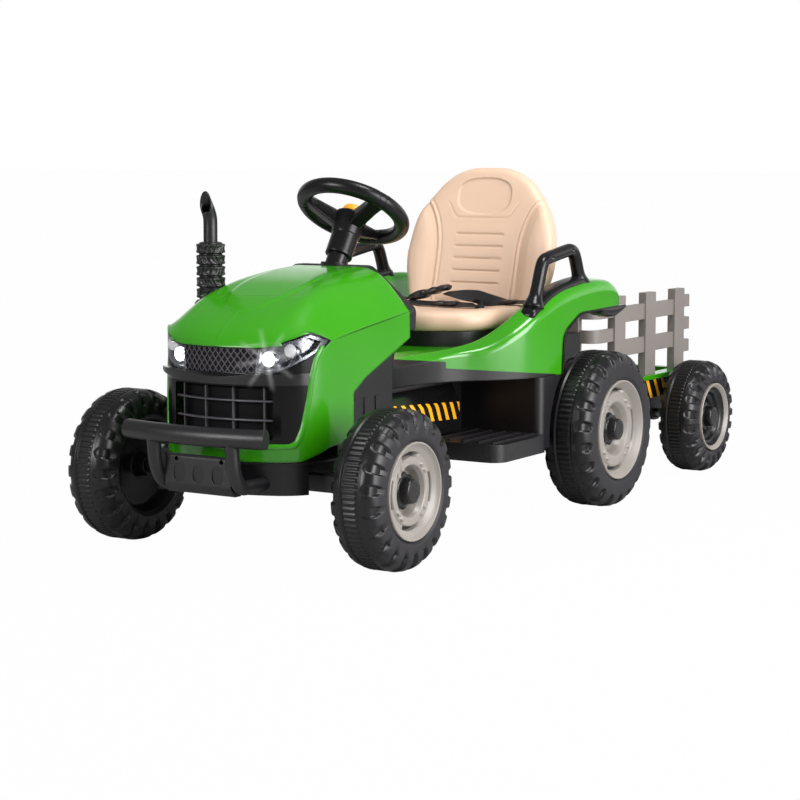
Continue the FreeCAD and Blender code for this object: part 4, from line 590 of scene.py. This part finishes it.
def cut_end(ring):
    """The last ring run on along the path to the upright plane of the cut."""
    far = (cut_x - ring[..., 0]) / lean_out[0]
    return ring + far[..., None] * np.array([lean_out[0], 0, lean_out[1]])


height = np.linspace(ring_from, 490, 163)[:, None]
wall = knuckled(height)
lid_z, lid_r = np.array([(490.5, 18.0), (491.5, 15.0), (492.0, 0.0)]).T[..., None]
stack = np.concatenate([0 * wall[:1] + pole_r, wall, lid_r + pole_r + 0 * wall[:3]])
stack_grid = stack_at + lathe(stack, np.concatenate([[[ring_from]], height, lid_z]), turns)
foot = [(350.0, 0.0), (350.0, 27.0), (392.0, 27.0), (396.0, 25.0), (398.0, 19.0), (398.0, 0.0)]
foot_z, foot_r = np.array(foot).T[..., None]
foot_grid = stack_at + lathe(foot_r + pole_r, foot_z, turns)
bend = through([(512, 484), (512, 505), (512, 524), (513.4, 533), (517.5, 542), (524, 552)], 40)
lean_out = unit(bend[-1] - bend[-2])
outer, inner, core = (hoops(bend, stack_at[1], r, turns) for r in (11.3, 9.1, pole_r))
outer, inner = outer[:34], inner[20:34]
pipe_grid = np.concatenate([core[:1], outer, cut_end(outer[-1:]), cut_end(inner[-1:]), inner[::-1],
                            core[20:21]])
exhaust_black = surface("exhaust_black", (12, 12, 13), (20, 20, 21), 0.34, 900, 0.00004)
piece("exhaust_stack", [stack_grid, foot_grid, pipe_grid], exhaust_black, "tractor",
      ("exhaust",))

# Headlamps: a clear moulded lens over a bright metallised bowl, with two lamp domes in each. The inner domes
# are lit; both are pressed into the bowl from behind. The unlit outer domes glow faintly, a painted glow, and a
# tiny bright bead on the left inner dome is a painted glint.
lens = new_finish("lamp_lens", Transmission_Weight=1.0, IOR=1.12, Roughness=0.0,
                  Base_Color=(0.97, 0.98, 1.0, 1.0))
dress(lens, "headlamp_lenses")
chrome = surface("lamp_chrome", (98, 99, 102), (160, 161, 165), 0.25, 300, 0.00004, Metallic=1.0)
dress(chrome, "headlamp_reflectors")


def bead(middle, radius, flat):
    """Dome: half an ellipsoid that looks forward, radius across and flat deep, closed at its back."""
    a = np.linspace(0, np.pi / 2, 14)[:, None]
    t = full_turn(40)
    dome = grid_of(flat * np.cos(a), radius * np.sin(a) * np.cos(t), radius * np.sin(a) * np.sin(t))
    return np.concatenate([dome, 0 * dome[-1:]]) + np.array(middle)


glow_white = (1.0, 0.99, 0.97, 1.0)
lit = new_finish("lamp_lit", Emission_Color=glow_white, Emission_Strength=2.6)
spark = new_finish("lamp_painted_glint", Emission_Color=glow_white, Emission_Strength=70.0)
# Outer domes: unlit, so their faint emission is a painted glow.
painted_glow = new_finish("lamp_painted_glow", Emission_Color=glow_white, Emission_Strength=0.3, Roughness=0.15,
                  Base_Color=paint(150, 150, 152))
for side, sign in SIDES:
    name = "lamp_" + side
    piece(name + "_inner", [bead((637.0, sign * 84, 322), 11.5, 6.0)], lit, "tractor")
    piece(name + "_outer", [bead((619.0, sign * 112, 335), 10.5, 6.0)], painted_glow, "tractor")
# Tiny, very bright bead on the left inner dome only: a painted glint that sets off the lens streaks.
piece("lamp_painted_glint", [bead((643.2, 84, 322), 1.6, 1.0)], spark, "tractor")

# Nose and rear body: glossy green, moulded in colour. The rear body is black below a line that rises towards
# the dash and steps up at the front of its flare, and its inner walls between the fenders are black as painted
# shade.
leaf = ((42, 130, 2), (50, 140, 6))
nose_green, green = (surface(name, *leaf, 0.22, 60, 0.00002, edge, Coat_Weight=0.35, Coat_Roughness=0.06)
                     for name, edge in (("nose_green", 0.006), ("gloss_green", 0.0025)))
dress(nose_green, "nose_shell")
edged = new_finish("black_edged_green", Coat_Roughness=0.06)
place = position(edged)
x_of, y_of, z_of = axes(place, "XYZ")
split_z, split_rise, flare_x, flare_step, ledge_z = 0.250, 0.108, 0.178, 0.011, 0.2993
split = split_z + split_rise * (x_of + 0.010) + flare_step * (x_of > flare_x)
# Inner walls between the fenders darkened to black: painted shade.
inner_wall_shade = (abs(y_of) < 0.1705) * (x_of < -0.03) * (z_of < 0.352)
black_and_shaded_part = place.math("MAXIMUM", (z_of < split) * (z_of < ledge_z) * (x_of > -0.02), inner_wall_shade)
clouds = noise(place, 7.0, 3.0)
feed(edged, Base_Color=two_tone(black_and_shaded_part, two_tone(clouds, *leaf), (11, 10, 12)),
     Roughness=0.2 + 0.18 * black_and_shaded_part + 0.1 * (clouds - 0.5), Coat_Weight=0.35 - 0.35 * black_and_shaded_part,
     Normal=soft_edge(place, 0.0025))
dress(edged, "rear_body")

# Tail lips: a black moulding clipped under each fender's tail, deepest half way along. Its section runs from
# the inner wall down and round to the fender's outer edge.
fender_low = 353.2
tail_x = np.linspace(-289, -192, 60)[:, None]
sag = 2.5 + 16.5 * np.sin(np.pi * np.clip((tail_x + 291) / 105, 0, 1)) ** 0.8
lip_y, lip_drop = np.array([
    (192, 0.0), (192, 0.55), (200, 0.85), (214, 0.98), (228, 1.0), (234.5, 0.93), (237.6, 0.75), (238.6, 0.45),
    (238.6, 0.05), (236.5, -0.06)]).T
for side, sign in SIDES:
    lip = grid_of(tail_x, sign * lip_y, fender_low - sag * lip_drop)
    piece("tail_lip_" + side, [capped(lip)], gloss, "tractor")

# Nose bead: the green moulding's rolled edge round the fascia, down both sides and across below the grille.
# Its ends taper off under the hood.
corner_x, corner_y, corner_r, bead_half, bead_sunk, bead_low = 560.23, 61.23, 85.78, 5.4, 3.0, 188.0
side_x = np.array([575.0, 584, 592, 599, 603, 607, 611, 617.5, 623.5])
side_z = np.array([342.0, 333, 320, 292, 264, 241, 219, 198, 189.5])
side_y = corner_y + np.sqrt(corner_r ** 2 - (side_x - corner_x) ** 2)
low_y = np.array([100.0, 72, 38, 0, -38, -72, -100])
edge_line = through(np.concatenate([
    grid_of(side_x, side_y, side_z), grid_of(bowed(low_y), low_y, bead_low),
    grid_of(side_x, -side_y, side_z)[::-1]]), 300)
heading = unit(np.gradient(edge_line, axis=0))[:, None]
edge_y = edge_line[:, 1:2]
round_corner = edge_line - np.sign(edge_y) * np.array([0, corner_y, 0]) - np.array([corner_x, 0, 0])
across_nose = edge_line * np.array([0, 2 * MM * nose_bow, 0]) + FORWARD
off_nose = np.where(np.abs(edge_y) > 103, round_corner, across_nose) * np.array([1.0, 1, 0])
off_nose = unit(off_nose)[:, None]
bead_turn = full_turn(28)[None, :, None]
bead_r = bead_half * np.sqrt(np.clip(1 - np.linspace(-1, 1, 300) ** 20, 0, 1))[:, None, None]
bead_ring = np.cos(bead_turn) * off_nose + np.sin(bead_turn) * np.cross(heading, off_nose)
bead_grid = edge_line[:, None] - bead_sunk * off_nose + bead_r * bead_ring
piece("nose_bead", [bead_grid], nose_green, "tractor")

# Armrests: black moulded grab bars on pads that follow the fender crests. The bar's feet flare out on the pad,
# and two screws are sunk into its upper run.
crest = through([
    (44, 352.5), (32, 361), (4, 374.8), (-26, 386.4), (-66, 395), (-106, 400.5), (-146, 404),
    (-180, 405.8)], 120)
arm_y, arm_r, foot_flare, screw_r, screw_sunk = 208, 11.5, 7.5, 3.6, 4.0
pad_half, pad_tall, pad_tilt = 15.5, 8.0, 0.14
pad_u = np.abs(np.linspace(-1, 1, 120)[:, None])
pad_turn = full_turn(48)
pad_y = pad_half * np.sqrt(1 - pad_u ** 7) * blunt(np.cos(pad_turn), 0.55)
pad_up = pad_tall * np.sqrt(1 - pad_u ** 9) * blunt(np.sin(pad_turn), 0.75)
pad_z = crest[:, 1:] + pad_up - pad_tilt * pad_y
grip = through([
    (19, 366), (9, 391), (-2, 417), (-9, 434), (-17.5, 445.5), (-32, 450.4), (-60, 454.6), (-96, 459.6),
    (-117, 461.4), (-130.5, 457), (-139, 445), (-146, 429), (-155, 408), (-160, 396)], 190)
grip_run = run_of(grip)[:, None]
grip_r = arm_r + foot_flare * ridge(np.minimum(grip_run, grip_run[-1] - grip_run), 15)
arm_turn = np.linspace(-np.pi, np.pi, 72, endpoint=False)
for screw_at in (104.0, 182.0):
    off = np.hypot(grip_run - screw_at, arm_r * arm_turn)
    grip_r = grip_r - screw_sunk * smooth(screw_r, screw_r - 1.0, off)
for side, sign in SIDES:
    pad = grid_of(crest[:, :1], sign * (arm_y + pad_y), pad_z)
    core, tube = (hoops(grip, sign * arm_y, r, arm_turn) for r in (pole_r, grip_r))
    tube = np.concatenate([core[:1], tube, core[-1:]])
    piece("armrest_" + side, [pad, tube], gloss, "tractor", ("armrests",) if sign > 0 else ())

# Hood: one thin glossy green moulding with a flat raised top, soft shoulders and a rolled lip over the grille.
# It is clipped to the nose along the parting line and screwed to the dash behind. Each row of the table is a
# section: its edge in X, Y and Z, its crown in X and Z, and the share of its width that is flat.
hood_rows = through([
    (342.5, 155, 381, 342.5, 449.6, 0.36), (414, 154.6, 372, 414, 443.5, 0.40),
    (484, 151.5, 362, 484, 432, 0.47), (540, 148.4, 352.5, 543, 415, 0.55), (559, 147, 348.5, 573, 404, 0.58),
    (583, 142.5, 358, 606, 388, 0.60), (604, 135, 362.5, 629, 374, 0.60), (621, 122, 356.5, 645, 361.5, 0.60),
    (631, 110, 351.5, 654, 351.5, 0.60), (634, 105, 348, 658.6, 344.5, 0.60),
    (634.6, 104, 346, 659.8, 340.5, 0.60), (630, 103, 345, 655, 339.4, 0.60)], 190)
edge_x, edge_y, edge_z, crown_x, crown_z, flat_to = hood_rows.T[..., None]
f = 0.35 * np.sin(np.linspace(np.pi / 2, -np.pi / 2, 181)) + 0.65 * np.linspace(1, -1, 181)
t = np.clip((np.abs(f) - flat_to) / (1 - flat_to), 0, 1)
hood_x = edge_x + (crown_x - edge_x) * (1 - f * f)
hood_y = edge_y * f
hood_z = edge_z + (crown_z - edge_z) * (1 - t ** (2.2 - 0.8 * t * t))
panel_half, panel_rise, hood_sunk = 62, 1.6, 1.2
reach = panel_half * np.sqrt(np.clip(1 - np.clip((hood_x - 470) / 132, 0, 1) ** 2.6, 0, 1))
raised = smooth(-5.0, 5.0, reach - np.abs(hood_y)) * smooth(342, 356, hood_x)
hood_grid = np.stack([hood_x, hood_y, hood_z + panel_rise * raised - hood_sunk], -1)
tuck, tuck_near = (hood_grid[:, [0, -1]] + np.array([(0, -inward, -drop), (0, inward, -drop)])
                   for inward, drop in ((5.0, 0.6), (0.8, 0.9)))
hood_grid = np.concatenate([tuck[:, :1], tuck_near[:, :1], hood_grid, tuck_near[:, 1:], tuck[:, 1:]], 1)
hood_skin = piece("hood_skin", [hood_grid[:, ::-1]], green, "tractor", ("hood",), wrap=False,
                  closed=False)
thick = hood_skin.modifiers.new("wall", "SOLIDIFY")
thick.thickness = 0.0024
thick.offset = -1.0

# Steering wheel: a round black grip moulded over its core, with a pair of seams at each of three deep spokes, a
# hub with a pocket for the horn, and a sleeve that turns on the column.
tip_back, tip_up = np.sin(np.radians(32)), np.cos(np.radians(32))
ring_r, ring_tube, seam_off, seam_depth = 85, 12.9, 6.5, 0.9
spoke_turns = np.radians([62.0, -62.0, 180.0])


def on_column(points, middle_x=272, middle_z=536):
    """Points in mm about a middle on the column, Z up it and X ahead, tipped back by 32 degrees."""
    x, y, z = np.moveaxis(points, -1, 0)
    return np.stack([middle_x + tip_up * x - tip_back * z, y, middle_z + tip_back * x + tip_up * z], -1)


grip_turn, grip_round = full_turn(480)[:, None], full_turn(40)
near = np.min(np.abs((grip_turn - spoke_turns + np.pi) % (2 * np.pi) - np.pi), 1, keepdims=True) * ring_r
tube = ring_tube - seam_depth * ridge(near - seam_off, 0.8) - 0.25 * smooth(seam_off, 5.5, near)
grip_grid = lathe(ring_r + tube * np.cos(grip_round), tube * np.sin(grip_round), grip_turn)
spoke_r = np.linspace(14, 83, 50)[:, None]
spoke_low = np.interp(spoke_r, [12, 79, 85], [-40, -9, 2])
spoke_top = np.interp(spoke_r, [12, 24, 75, 85], [-8, -8, 5, 6])
spoke_half = 12.4 + 2.6 * smooth(60, 84, spoke_r)
spoke_round = full_turn(48)
spoke_z = (spoke_low + spoke_top) / 2 + (spoke_top - spoke_low) / 2 * blunt(np.sin(spoke_round), 0.3)
spoke = capped(grid_of(spoke_r, spoke_half * blunt(np.cos(spoke_round), 0.3), spoke_z))
hub_line = rounded([
    (6.2, -86, 0), (23, -86, 1.2), (23, -48, 2), (24.4, -46, 1), (27.6, -8, 2.4), (19.4, -8, 0.8),
    (19.4, -18.5, 0), (6.2, -18.5, 0)], 1.0, 3.0)
hub_grid = lathe(hub_line[:, :1], hub_line[:, 1:], full_turn(128))
wheel_parts = [on_column(np.concatenate([grid, grid[:1]])) for grid in (grip_grid, hub_grid)]
ahead, aside, up = np.moveaxis(spoke, -1, 0)
for turn in spoke_turns:
    wheel_parts.append(on_column(np.stack([ahead * np.cos(turn) - aside * np.sin(turn),
                                           ahead * np.sin(turn) + aside * np.cos(turn), up], -1)))
wheel_black = surface("wheel_black", (13, 12, 14), (19, 18, 20), 0.28, 900, 0.00004, Specular_IOR_Level=0.3)
piece("steering_grip", wheel_parts, wheel_black, "steering", ("steering_wheel",))

# Switches: a domed amber horn button in the wheel's hub, and a red power button and a black rocker snapped into
# the dash.
amber = surface("amber", (236, 160, 30), (246, 176, 44), 0.3, 700, 0.00003, 0.001)
red = surface("red", (176, 22, 24), (196, 30, 30), 0.3, 700, 0.00003, 0.001)
horn_z, horn_r = np.array([
    (-6, pole_r), (-6, 18.4), (8.0, 18.6), (12.0, 17.6), (14.8, 15.2), (16.6, 11), (17.4, 6),
    (17.6, pole_r)]).T[..., None]
horn = on_column(lathe(horn_r, horn_z, full_turn(72)), 276.24, 529.2)
piece("horn_dome", [horn], amber, "horn", ("horn_button",))
dress(red, "power_button")
dress(satin, "direction_rocker")

# Seat: blow-moulded tan shell, reclined 14 degrees. The back has two puffed bolsters edged by a pair of seams,
# five cross channels, a plain sunk panel under its top, and a seam that runs under that panel.
tan = surface("seat_tan", (197, 166, 142), (209, 179, 155), 0.42, 1500, 0.00005)


def shield(corners, middle, count):
    """Square grid drawn into a rounded outline: (u, v) goes to the disc point (u sqrt(1 - v²/2),
    v sqrt(1 - u²/2)), which is then stretched in its own direction to the outline. Gives both coordinates and
    the distance in from the edge, in mm."""
    t = np.linspace(-1, 1, count)
    t = 0.55 * t + 0.45 * np.sin(np.pi * t / 2)
    u, v = np.meshgrid(t, t, indexing="ij")
    p, q = u * np.sqrt(1 - v * v / 2), v * np.sqrt(1 - u * u / 2)
    line = rounded(corners, 2.0, 2.0) - np.array(middle)
    turn = np.arctan2(line[:, 1], line[:, 0])
    order = np.argsort(turn)
    reach = np.interp(np.arctan2(q, p), turn[order], np.hypot(*line[order].T), period=2 * np.pi)
    return middle[0] + p * reach, middle[1] + q * reach, (1 - np.hypot(p, q)) * reach


def roll(inside, radius):
    """How far an edge rounded at that radius has dropped, at a distance inside its outline."""
    t = np.clip(1 - inside / radius, 0, 1)
    return radius * (1 - np.sqrt(1 - t * t))


def shell(place, front, rear):
    """Front and rear of one shell as a single closed sheet of rows; the rear is kept behind the front and meets
    it along the outline."""
    rear = np.minimum(rear, front - 0.02)
    rear[[0, -1], :] = front[[0, -1], :]
    rear[:, [0, -1]] = front[:, [0, -1]]
    return np.concatenate([place(front), place(rear)[::-1]])


half, tall, lean = 155.0, 279.3, np.radians(14.0)
back_line = [(-half + 24, 0, 14), (half - 24, 0, 14), (half + 1, 100, 160), (half - 12, 190, 160),
             (70, tall, 110), (-70, tall, 110), (12 - half, 190, 160), (-half - 1, 100, 160)]
across, up, inside = shield(back_line, (0, 130), 196)
side = np.abs(across)
bolster_y, bolster_half, bolster_z, bolster_tall = 150, 62, 112, 112
off_y, off_z = side - bolster_y, np.maximum(up - bolster_z, 0)
arch = np.hypot(off_y / bolster_half, off_z / bolster_tall)
steep = np.hypot(off_y / bolster_half ** 2, off_z / bolster_tall ** 2)
past = (1 - arch) * arch / np.maximum(steep, 1e-3)
front = -6 + 3 * (side / half) ** 2 + 4.6 * smooth(-2, 22, past) + 1.4 * ridge(past - 34, 22)
front = front - 1.9 * ridge(past, 1.4) - 1.4 * ridge(past + 9, 1.4) + 1.3 * ridge(past + 4.5, 2.6)
channel_from, channel_pitch, channel_deep, panel_z, panel_deep = 58.0, 23.0, 2.2, 223, 2.4
for channel_z in channel_from + channel_pitch * np.arange(5):
    front = front - channel_deep * ridge(up - channel_z, 1.5) * smooth(53, 47, side)
    front = front + 0.6 * ridge(up - channel_z - 11, 7) * smooth(58, 40, side)
hem_z = 181 + 30 * smooth(46, 78, side) ** 1.5
front = front - 1.4 * ridge(up - hem_z, 1.5) * smooth(78, 70, side)
panel = (side / 56) ** 2.4 + (np.abs(up - panel_z) / 34) ** 3
front = front - panel_deep * smooth(1.05, 0.95, panel) - roll(inside, 15) - 1.5 * smooth(30, 0, inside)


def leaned(out):
    """Points of the seat back: up along the leaning back, out along its normal."""
    return np.stack([-116 - up * np.sin(lean) + out * np.cos(lean), across,
                     340 + up * np.cos(lean) + out * np.sin(lean)], -1)


def level(height):
    """Points of the seat pan at a height."""
    return np.stack([ahead, across_pan, height], -1)


pan_line = [(-160, -129, 22), (-26, -153, 220), (89, -139, 80), (141, -58, 80), (141, 58, 80), (89, 139, 80),
            (-26, 153, 220), (-160, 129, 22)]
ahead, across_pan, in_pan = shield(pan_line, (0, 0), 100)
dish = 7 * smooth(34, 100, in_pan) + 2.2 * ridge(in_pan - 44, 2.2) * smooth(-60, -10, ahead)
pan_drop = roll(in_pan, 17)
piece("seat_shell", [shell(leaned, front, -44 + 19 / 26 * roll(inside, 26)),
                     shell(level, 361.5 - dish - pan_drop, 326 + pan_drop)],
      tan, "tractor", ("seat",), loop=True, wrap=False)

# Lap belt: black woven webbing from both sides of the seat, through a side-release buckle that lies tilted on
# the loose end, with slide adjusters on the left strap and the loose end. The ends are bolted under the pan.
webbing = new_finish("webbing", Roughness=0.62)
x_of, y_of = axes(position(webbing), "XY")
weave = 0.5 + 0.25 * x_of.math("SINE", 2600.0 * x_of) + 0.25 * x_of.math("SINE", 3400.0 * y_of)
feed(webbing, Base_Color=two_tone(weave, (13, 13, 14), (27, 27, 28)), Normal=relief(weave, 0.0003, 1.0))
buckle_black = surface("buckle_black", (14, 14, 15), (21, 21, 22), 0.33, 900, 0.00003)
strap_wide, end_wide, strap_thick, buckle_tilt = 25, 24, 1.7, 16.0


def ribbon(path, lean, width):
    """Strap along a smooth path: its flat section, a blunt oval, is set across the path and turned by lean
    degrees about it; both ends close in a point."""
    line = through(path, 90)
    turn = np.radians(np.interp(np.linspace(0, 1, 90), np.linspace(0, 1, len(lean)), lean))[:, None]
    heading = unit(np.gradient(line, axis=0))
    flat = unit(FORWARD - heading * heading[:, :1])
    face = np.cross(heading, flat)
    flat, face = flat * np.cos(turn) + face * np.sin(turn), face * np.cos(turn) - flat * np.sin(turn)
    t = full_turn(24)[:, None]
    wide, thick = width / 2 * blunt(np.cos(t), 0.35), strap_thick / 2 * blunt(np.sin(t), 0.7)
    return capped(line[:, None] + flat[:, None] * wide + face[:, None] * thick)


def clip(length, half_width, half_height, middle, tilt):
    """Moulded block along Y: its half width and half height are read along its length, its section is a blunt
    oval, and it is tilted about X by so many degrees."""
    rows = np.linspace(-1, 1, 70)[:, None]
    wide, high = (np.interp(rows, np.linspace(-1, 1, len(half)), half) for half in (half_width, half_height))
    t = full_turn(40)
    a, b = wide * blunt(np.cos(t), 0.4), high * blunt(np.sin(t), 0.5)
    run, slope = rows * length / 2, np.radians(tilt)
    grid = grid_of(middle[0] + a, middle[1] + run * np.cos(slope) - b * np.sin(slope),
                   middle[2] + run * np.sin(slope) + b * np.cos(slope))
    return capped(grid)


strap_left = ribbon([
    (-74, 153, 330), (-74, 153.5, 350), (-74, 149, 364), (-73, 138, 368), (-72, 122, 367), (-72, 104, 366),
    (-74, 84, 367), (-78, 62, 369), (-79, 40, 374), (-78, 18, 376), (-76, -6, 378), (-75, -24, 379)],
    [0, 0, 0, -10, -14, -18, -36, -62, -66, -50, -24, -8], strap_wide)
strap_right = ribbon([
    (-74, -153, 330), (-74, -153.5, 350), (-74, -149, 364), (-73, -138, 367), (-73, -124, 365.5),
    (-74, -110, 367), (-75, -94, 368)], [0, 0, 0, -3, -16, -14, 0], strap_wide)
loose_end = ribbon([
    (-73, 34, 369), (-68, 48, 364), (-60, 52, 360.3), (-52, 40, 360.6), (-50, 10, 360.6), (-51, -30, 360.6),
    (-54, -66, 361.4), (-58, -96, 363.4)], [0, 8, 0, -14, -18, -16, -12, -6], end_wide)
piece("lap_belt_webbing", [strap_left, strap_right, loose_end], webbing, "tractor", ("lap_belt",))
buckle = clip(84, [11, 16, 16, 17, 17, 17, 13, 12.4, 12.4, 16, 16.4, 14.6, 14.6, 16, 16, 11],
              [2.8, 5.6, 6.4, 7.6, 8.2, 8.2, 8.0, 5.0, 5.0, 6.6, 7.0, 5.4, 5.0, 5.8, 5.8, 2.8],
              (-75, -58, 379.2), buckle_tilt)
prongs = [clip(26, [2, 3.4, 3.4, 2.4], [2.2, 3.0, 3.0, 2.2], (prong_x, -52, 380.6), buckle_tilt)
          for prong_x in (-89.5, -60.5)]
slider = clip(30, [14, 15.6, 15.6, 15.6, 14], [2.2, 4.0, 3.2, 4.0, 2.2], (-72.5, 110, 367.8), 2.0)
slider_low = clip(46, [12, 14, 14, 13, 14, 14, 12], [2.4, 4.6, 4.0, 3.4, 4.0, 4.6, 2.4], (-51, -8, 362.4), 1.0)
piece("lap_belt_buckle", [buckle, *prongs, slider, slider_low], buckle_black, "tractor")

# Trailer bed: green tray with a folded flange, screwed to the frame; below the flange its sides are black with
# slanted amber bars.
tray = new_finish("barred_tray", Coat_Weight=0.4, Coat_Roughness=0.08)
place = position(tray)
x_of, y_of, z_of = axes(place, "XYZ")
skirt_y, skirt_z = 0.1713, 0.1872
skirt = (abs(y_of) > skirt_y) * (z_of < skirt_z)
clouds = noise(place, 7.0, 3.0)
bars = two_tone(slanted(x_of, z_of, slant=0.6, pitch=0.034, share=0.36), coal, amber_bar)
shade = two_tone(skirt, two_tone(clouds, *leaf), bars)
feed(tray, Base_Color=shade, Roughness=0.24 + 0.1 * (clouds - 0.5), Normal=soft_edge(place, 0.002))
dress(tray, "trailer_bed")

# Trailer fence: posts, slats and rails moulded in grey-brown, as two side panels and a front panel whose rails
# bend round the corners to meet them.
fence_grey = surface("fence_grey", (112, 106, 102), (126, 119, 115), 0.45, 1200, 0.00006, 0.0015)
dress(fence_grey, "trailer_side_fences", "trailer_front_fence")

# Studio: pale floor that runs to the horizon, even sky, large soft lamps, and the camera. The camera sees floor
# and sky white; the part itself is lit by less of both, as between dark flags.
floor = bpy.data.materials.new("floor_paint")
floor.use_nodes = True
floor.node_tree.nodes.clear()
field = Field(floor.node_tree)
seen = field.add("ShaderNodeLightPath", None, None, "Is Camera Ray")
matt = field.add("ShaderNodeBsdfDiffuse", None, {"Color": (0.42, 0.42, 0.42, 1)})
glow = field.add("ShaderNodeEmission", None, {"Color": (1, 1, 1, 1), "Strength": 1.0})
shown = field.add("ShaderNodeMixShader", None, {0: 0.985 * seen, 1: matt, 2: glow})
out = floor.node_tree.nodes.new("ShaderNodeOutputMaterial")
floor.node_tree.links.new(shown.socket, out.inputs["Surface"])
spread = np.linspace(-60, 60, 9)
ground = np.stack([*np.meshgrid(spread, spread, indexing="ij"), np.zeros((9, 9)) - 0.0004], -1)
mesh = bpy.data.meshes.new("studio_floor")
mesh.from_pydata(ground.reshape(-1, 3).tolist(), [], tiles(np.arange(81).reshape(9, 9)).tolist())
mesh.materials.append(floor)
studio_floor = bpy.data.objects.new("studio_floor", mesh)
scene.collection.objects.link(studio_floor)

world = bpy.data.worlds.new("studio_sky")
scene.world = world
world.use_nodes = True
sky = Field(world.node_tree)
seen = sky.add("ShaderNodeLightPath", None, None, "Is Camera Ray")
behind, height = axes(sky.add("ShaderNodeTexCoord", None, None, "Generated"), "XZ")
dome = 0.24 + rise(behind, 0.1, -0.6, 0.8) * rise(height, 0.55, 0.15)
background = world.node_tree.nodes["Background"]
world.node_tree.links.new((seen + (1 - seen) * dome).socket, background.inputs["Strength"])
background.inputs["Color"].default_value = (1, 1, 1, 1)


def stand(name, data, place, aim):
    """Lamp or camera at a place, turned to its aim."""
    holder = bpy.data.objects.new(name, data)
    holder.location = place
    holder.rotation_euler = (Vector(aim) - Vector(place)).to_track_quat("-Z", "Y").to_euler()
    scene.collection.objects.link(holder)
    return holder


def lamp(name, place, aim, size, power):
    """Square soft light."""
    light = bpy.data.lights.new(name, "AREA")
    light.size = size
    light.energy = power
    return stand(name, light, place, aim)


lamp("key", (0.5, 3.8, 1.3), (0.0, 0, 0.25), 2.6, 202)
lamp("fill", (4.2, -1.2, 1.7), (0.2, 0, 0.25), 1.6, 100)
lamp("strip", (0.4, 1.2, 3.0), (0.1, 0, 0.2), 0.9, 44)
top_lamp = lamp("top", (0.2, 0.1, 3.0), (0.1, 0, 0.2), 3.0, 46)
top_lamp.visible_glossy = False

lens_and_film = bpy.data.cameras.new("camera")
lens_and_film.lens = 93.6
lens_and_film.sensor_width = 36.0
scene.camera = stand("camera", lens_and_film, (3.2059, 1.9130, 0.6341), (0.1229, 0, 0.2027))
scene.view_settings.view_transform = "Standard"

# Streaks round the brightest points, as a lens draws them, chiefly round the painted glint on the left lamp.
# They are added to the picture only, not to the part.
scene.use_nodes = True
picture = scene.node_tree
picture.nodes.clear()
taken = picture.nodes.new("CompositorNodeRLayers")
streaks = picture.nodes.new("CompositorNodeGlare")
streaks.glare_type = "STREAKS"
for key, value in {"Threshold": 6.0, "Streaks": 8, "Streaks Angle": 0.2, "Iterations": 2, "Fade": 0.9,
                   "Strength": 0.24, "Color Modulation": 0.0}.items():
    streaks.inputs[key].default_value = value
shown_picture = picture.nodes.new("CompositorNodeComposite")
picture.links.new(taken.outputs["Image"], streaks.inputs["Image"])
picture.links.new(streaks.outputs["Image"], shown_picture.inputs["Image"])
